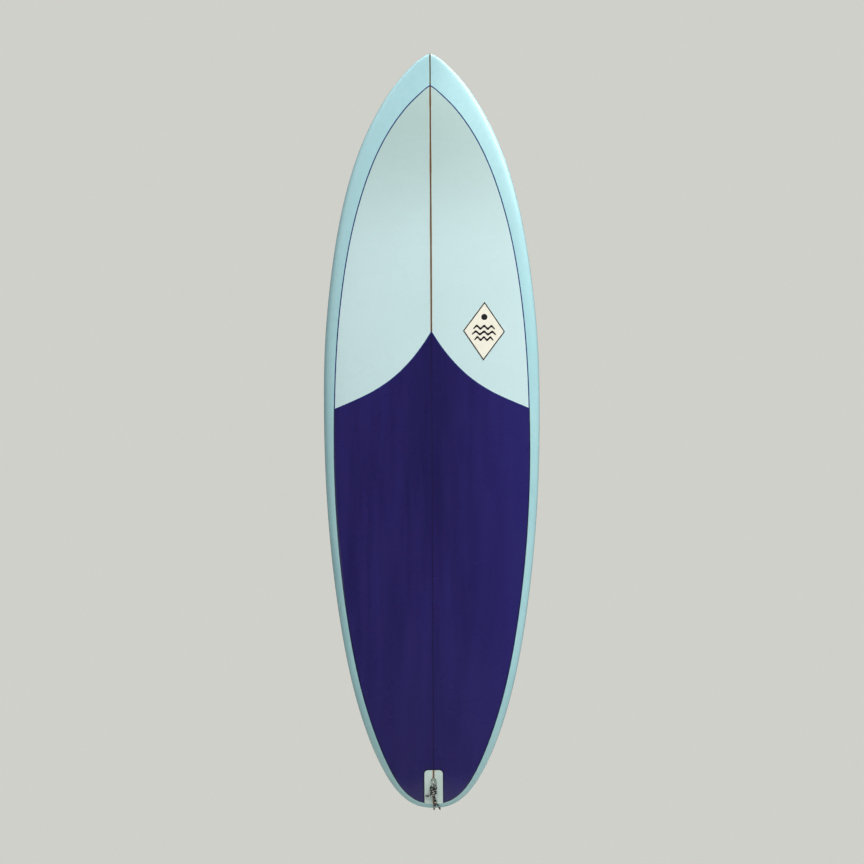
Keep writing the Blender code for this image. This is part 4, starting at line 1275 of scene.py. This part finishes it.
def make_centre_fin(look):
    front_edge, back_edge = table(CENTRE_FRONT), table(CENTRE_BACK)
    blade = foil_blade(lambda s: FIN_FRONT_Z - front_edge(s), lambda s: FIN_FRONT_Z - back_edge(s),
                       FIN_HEIGHT, CENTRE_FOIL, 1.0, 0.0, 1)
    fin = piece("centre_fin_blade", blade, look, "centre_fin", ("centre_fin",),
                matrix=CENTRE_FRAME)
    tab_front, tab_back = FIN_FRONT_Z - 0.002, FIN_FRONT_Z - FIN_BASE + 0.002
    half = TAB_WIDTH / 2
    tongue_front = FIN_FRONT_Z + TONGUE_LENGTH
    tab = block((-half, 0.0006 - SLOT[2], tab_back), (half, 0.0012, tab_front))
    tongue = block((-half, TONGUE[0], tab_front - 0.002), (half, TONGUE[1], tongue_front))
    pin_hole = rod(PIN_RADIUS + GAP, (-0.02, PIN_Y, PIN_Z), (0.02, PIN_Y, PIN_Z))
    screw_hole = rod(SCREW_HOLE, (0, -0.03, SCREW_Z), (0, 0.0, SCREW_Z))
    combine(fin, tool("tab", tab, CENTRE_FRAME), "UNION")
    combine(fin, tool("tongue", tongue, CENTRE_FRAME), "UNION")
    combine(fin, tool("pin_hole", pin_hole, CENTRE_FRAME))
    combine(fin, tool("screw_hole", screw_hole, CENTRE_FRAME))
    remove(settle(fin))
    mark_layers(fin, CENTRE_FRAME, 0.0, 1, CENTRE_FOIL)


def make_side_fins(look):
    front_edge, back_edge = table(SIDE_FRONT), table(SIDE_BACK)
    centre = SIDE_FIN_BASE / 2
    length, width, depth = SIDE_TAB
    for name, side in SIDES.items():
        matrix = SIDE_FRAMES[name]
        blade = foil_blade(lambda s: centre - front_edge(s), lambda s: centre - back_edge(s),
                           SIDE_FIN_HEIGHT, SIDE_FOIL, SIDE_INNER_SHARE, SIDE_CANT, side)
        node = "side_fin_" + name
        fin = piece(node + "_blade", blade, look, node, (node,), matrix=matrix)
        for z in SIDE_TAB_ZS:
            tab = block((-width / 2, -depth, z - length / 2), (width / 2, 0.0010, z + length / 2))
            combine(fin, tool("tab", tab, matrix), "UNION")
        remove(settle(fin))
        mark_layers(fin, matrix, SIDE_CANT, side, SIDE_FOIL)


def make_centre_box(look):
    length, width, depth = CENTRE_BOX
    housing = prism(rounded_outline(length, width, CENTRE_CORNER), -depth, -BOX_SUNK)
    box = piece("centre_box_housing", housing, look, stands_for=("centre_fin_box",),
                matrix=CENTRE_FRAME)
    slot_length, slot_width, slot_depth = SLOT
    bottom, top, groove_width = GROOVE
    reach = slot_length / 2 - 0.002
    half_groove = groove_width / 2
    entry_back, entry_front = ENTRY_Z - ENTRY_LENGTH / 2, ENTRY_Z + ENTRY_LENGTH / 2
    cutters = {
        "slot": prism(rounded_outline(slot_length, slot_width, SLOT_CORNER), -slot_depth, 0.01),
        "groove": block((-half_groove, bottom, -reach), (half_groove, top, reach)),
        "entry": block((-half_groove, bottom, entry_back), (half_groove, 0.01, entry_front)),
    }
    for name, cutter in cutters.items():
        combine(box, tool(name, cutter, CENTRE_FRAME))
    bevel(box, 0.0004)
    remove(settle(box))


def make_side_boxes(look):
    length, width, depth = SIDE_BOX
    tab_length, tab_width, tab_depth = SIDE_TAB
    slack = SIDE_SLOT_CLEARANCE
    for name, side in SIDES.items():
        matrix = SIDE_FRAMES[name]
        node = "side_fin_box_" + name
        housing = prism(rounded_outline(length, width, SIDE_CORNER), -depth, -BOX_SUNK)
        box = piece(node + "_housing", housing, look, stands_for=(node,), matrix=matrix)
        half_x, half_z = tab_width / 2 + slack, tab_length / 2 + slack
        for z in SIDE_TAB_ZS:
            slot = block((-half_x, -tab_depth - slack, z - half_z), (half_x, 0.01, z + half_z))
            combine(box, tool("slot", slot, matrix))
            hole = rod(GRUB_RADIUS + GAP, (0, -0.0008, 0), (0, 0.02, 0))
            combine(box, tool("grub_hole", hole, grub_frame(matrix, side, z)))
        bevel(box, 0.00035)
        remove(settle(box))


def grub_frame(matrix, side, z):
    """The leaning frame of a grub screw, on the inner flank of a side fin's tab."""
    lean = Matrix.Rotation(side * GRUB_TILT, 4, "Z")
    return matrix @ Matrix.Translation((-side * GRUB_TIP[0], GRUB_TIP[1], z)) @ lean


def threaded(radius, crest, low, high, pitch):
    """Profile points of a threaded shank, from its upper end to its lower."""
    points = []
    count = round((high - low) / pitch * 2)
    for k in range(count + 1):
        points.append((radius if k % 2 else radius - crest, high - (high - low) * k / count))
    return points


def make_screws(steel):
    """The grub screws and the centre fin's screw."""
    for name, side in SIDES.items():
        for end, z in zip(("front", "rear"), SIDE_TAB_ZS):
            node = "side_fin_screw_%s_%s" % (name, end)
            seat = grub_frame(SIDE_FRAMES[name], side, z)
            profile = [(0.0, GRUB_LENGTH), (GRUB_RADIUS - 0.0003, GRUB_LENGTH)]
            profile += threaded(GRUB_RADIUS, 0.00022, 0.0018, GRUB_LENGTH - 0.0002, 0.0007)
            profile += [(0.0012, 0.0), (0.0, 0.0)]
            screw = piece("grub_" + name + "_" + end, turned(profile), steel, node,
                          (node,), matrix=seat)
            socket = rod(SOCKET_RADIUS, (0, GRUB_LENGTH - SOCKET_DEPTH, 0), (0, GRUB_LENGTH + 0.01, 0), 6)
            combine(screw, tool("socket", socket, seat))
            remove(settle(screw))
    seat = TONGUE[1] + GAP
    place = CENTRE_FRAME @ Matrix.Translation((0, 0, SCREW_Z))
    profile = [(0.0, seat + 0.0026), (0.0022, seat + 0.0026), (0.0034, seat + 0.0019),
               (HEAD_RADIUS, seat + 0.0010), (HEAD_RADIUS, seat), (SHANK_RADIUS, seat)]
    profile += threaded(SHANK_RADIUS, 0.00025, -0.0150, seat - 0.001, 0.0008)
    profile += [(0.0015, SCREW_TIP), (0.0, SCREW_TIP)]
    screw = piece("centre_screw", turned(profile), steel, "centre_fin_screw",
                  ("centre_fin_screw",), matrix=place)
    for half_x, half_z in ((0.0004, 0.0020), (0.0020, 0.0004)):
        drive = block((-half_x, seat + 0.0012, -half_z), (half_x, seat + 0.01, half_z))
        combine(screw, tool("drive", drive, place))
    remove(settle(screw))


def dress_nodes(steel, brass):
    """Gives the CAD nodes that stay their own looks: foam, stringer, plate and pin."""
    foam = foam_look()
    wood = stringer_look("stringer_wood", srgb(112, 82, 58), srgb(140, 106, 76))
    looks = {"blank_left": foam, "blank_right": foam, "stringer": wood, "centre_fin_plate": steel,
             "centre_fin_pin": brass}
    for node, look in looks.items():
        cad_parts[node].material_slots[0].material = look


# ---------------------------------------------------------------- the whole
bpy.context.scene.view_settings.view_transform = "Standard"
make_camera()
make_world()
make_softbox("key", 56, 36, 4.4, (4.0, 4.0), 188)
make_softbox("fill", -58, 20, 4.6, (4.8, 4.8), 40)
make_softbox("top", 6, 66, 3.8, (2.6, 1.8), 95)
make_softbox("back", 180, 12, 4.8, (3.0, 2.4), 190, glossy=False)
make_floor()

LEASH_FRAME = leash_frame()
make_cord(LEASH_FRAME, cord_look())
clear_resin = resin_look()
make_loop(LEASH_FRAME, clear_resin)
make_mound(clear_resin)

navy = navy_line("navy_resin", srgb(26, 50, 116), srgb(22, 20, 60))
brown = stringer_look("stringer_under_glass", srgb(90, 70, 50), srgb(108, 82, 58))
grey = stringer_look("stringer_under_tint", srgb(88, 98, 90), srgb(106, 116, 104))
make_bottom(blue_laminate(), grey, glue_look("glue_under_tint", srgb(206, 238, 240), srgb(186, 222, 224)))
deck_glue = glue_look("glue_under_glass", srgb(214, 228, 217), srgb(196, 182, 156))
window_glue = glue_look("glue_in_window", srgb(206, 190, 172), srgb(186, 166, 146))
clear = clear_laminate("clear_deck_glass", srgb(200, 227, 228), srgb(209, 234, 237))
make_forward_panel(clear, brown, deck_glue)
make_pinline(navy)
make_edge_line(navy)
window = clear_laminate("window_glass", srgb(194, 214, 208), srgb(204, 222, 217))
make_tail(indigo_laminate(), window, navy,
          stringer_look("stringer_in_window", srgb(74, 76, 64), srgb(98, 92, 76)), window_glue)
make_decal(decal_look(), ink_look())

fins = fin_look()
plastic = plastic_look()
make_centre_box(plastic)
make_side_boxes(plastic)
make_centre_fin(fins)
make_side_fins(fins)
steel = metal_look("stainless_steel", srgb(168, 168, 165), srgb(205, 205, 201), 0.2, 0.4)
make_screws(steel)
dress_nodes(steel, metal_look("brass", srgb(186, 148, 82), srgb(214, 178, 108), 0.2, 0.38))
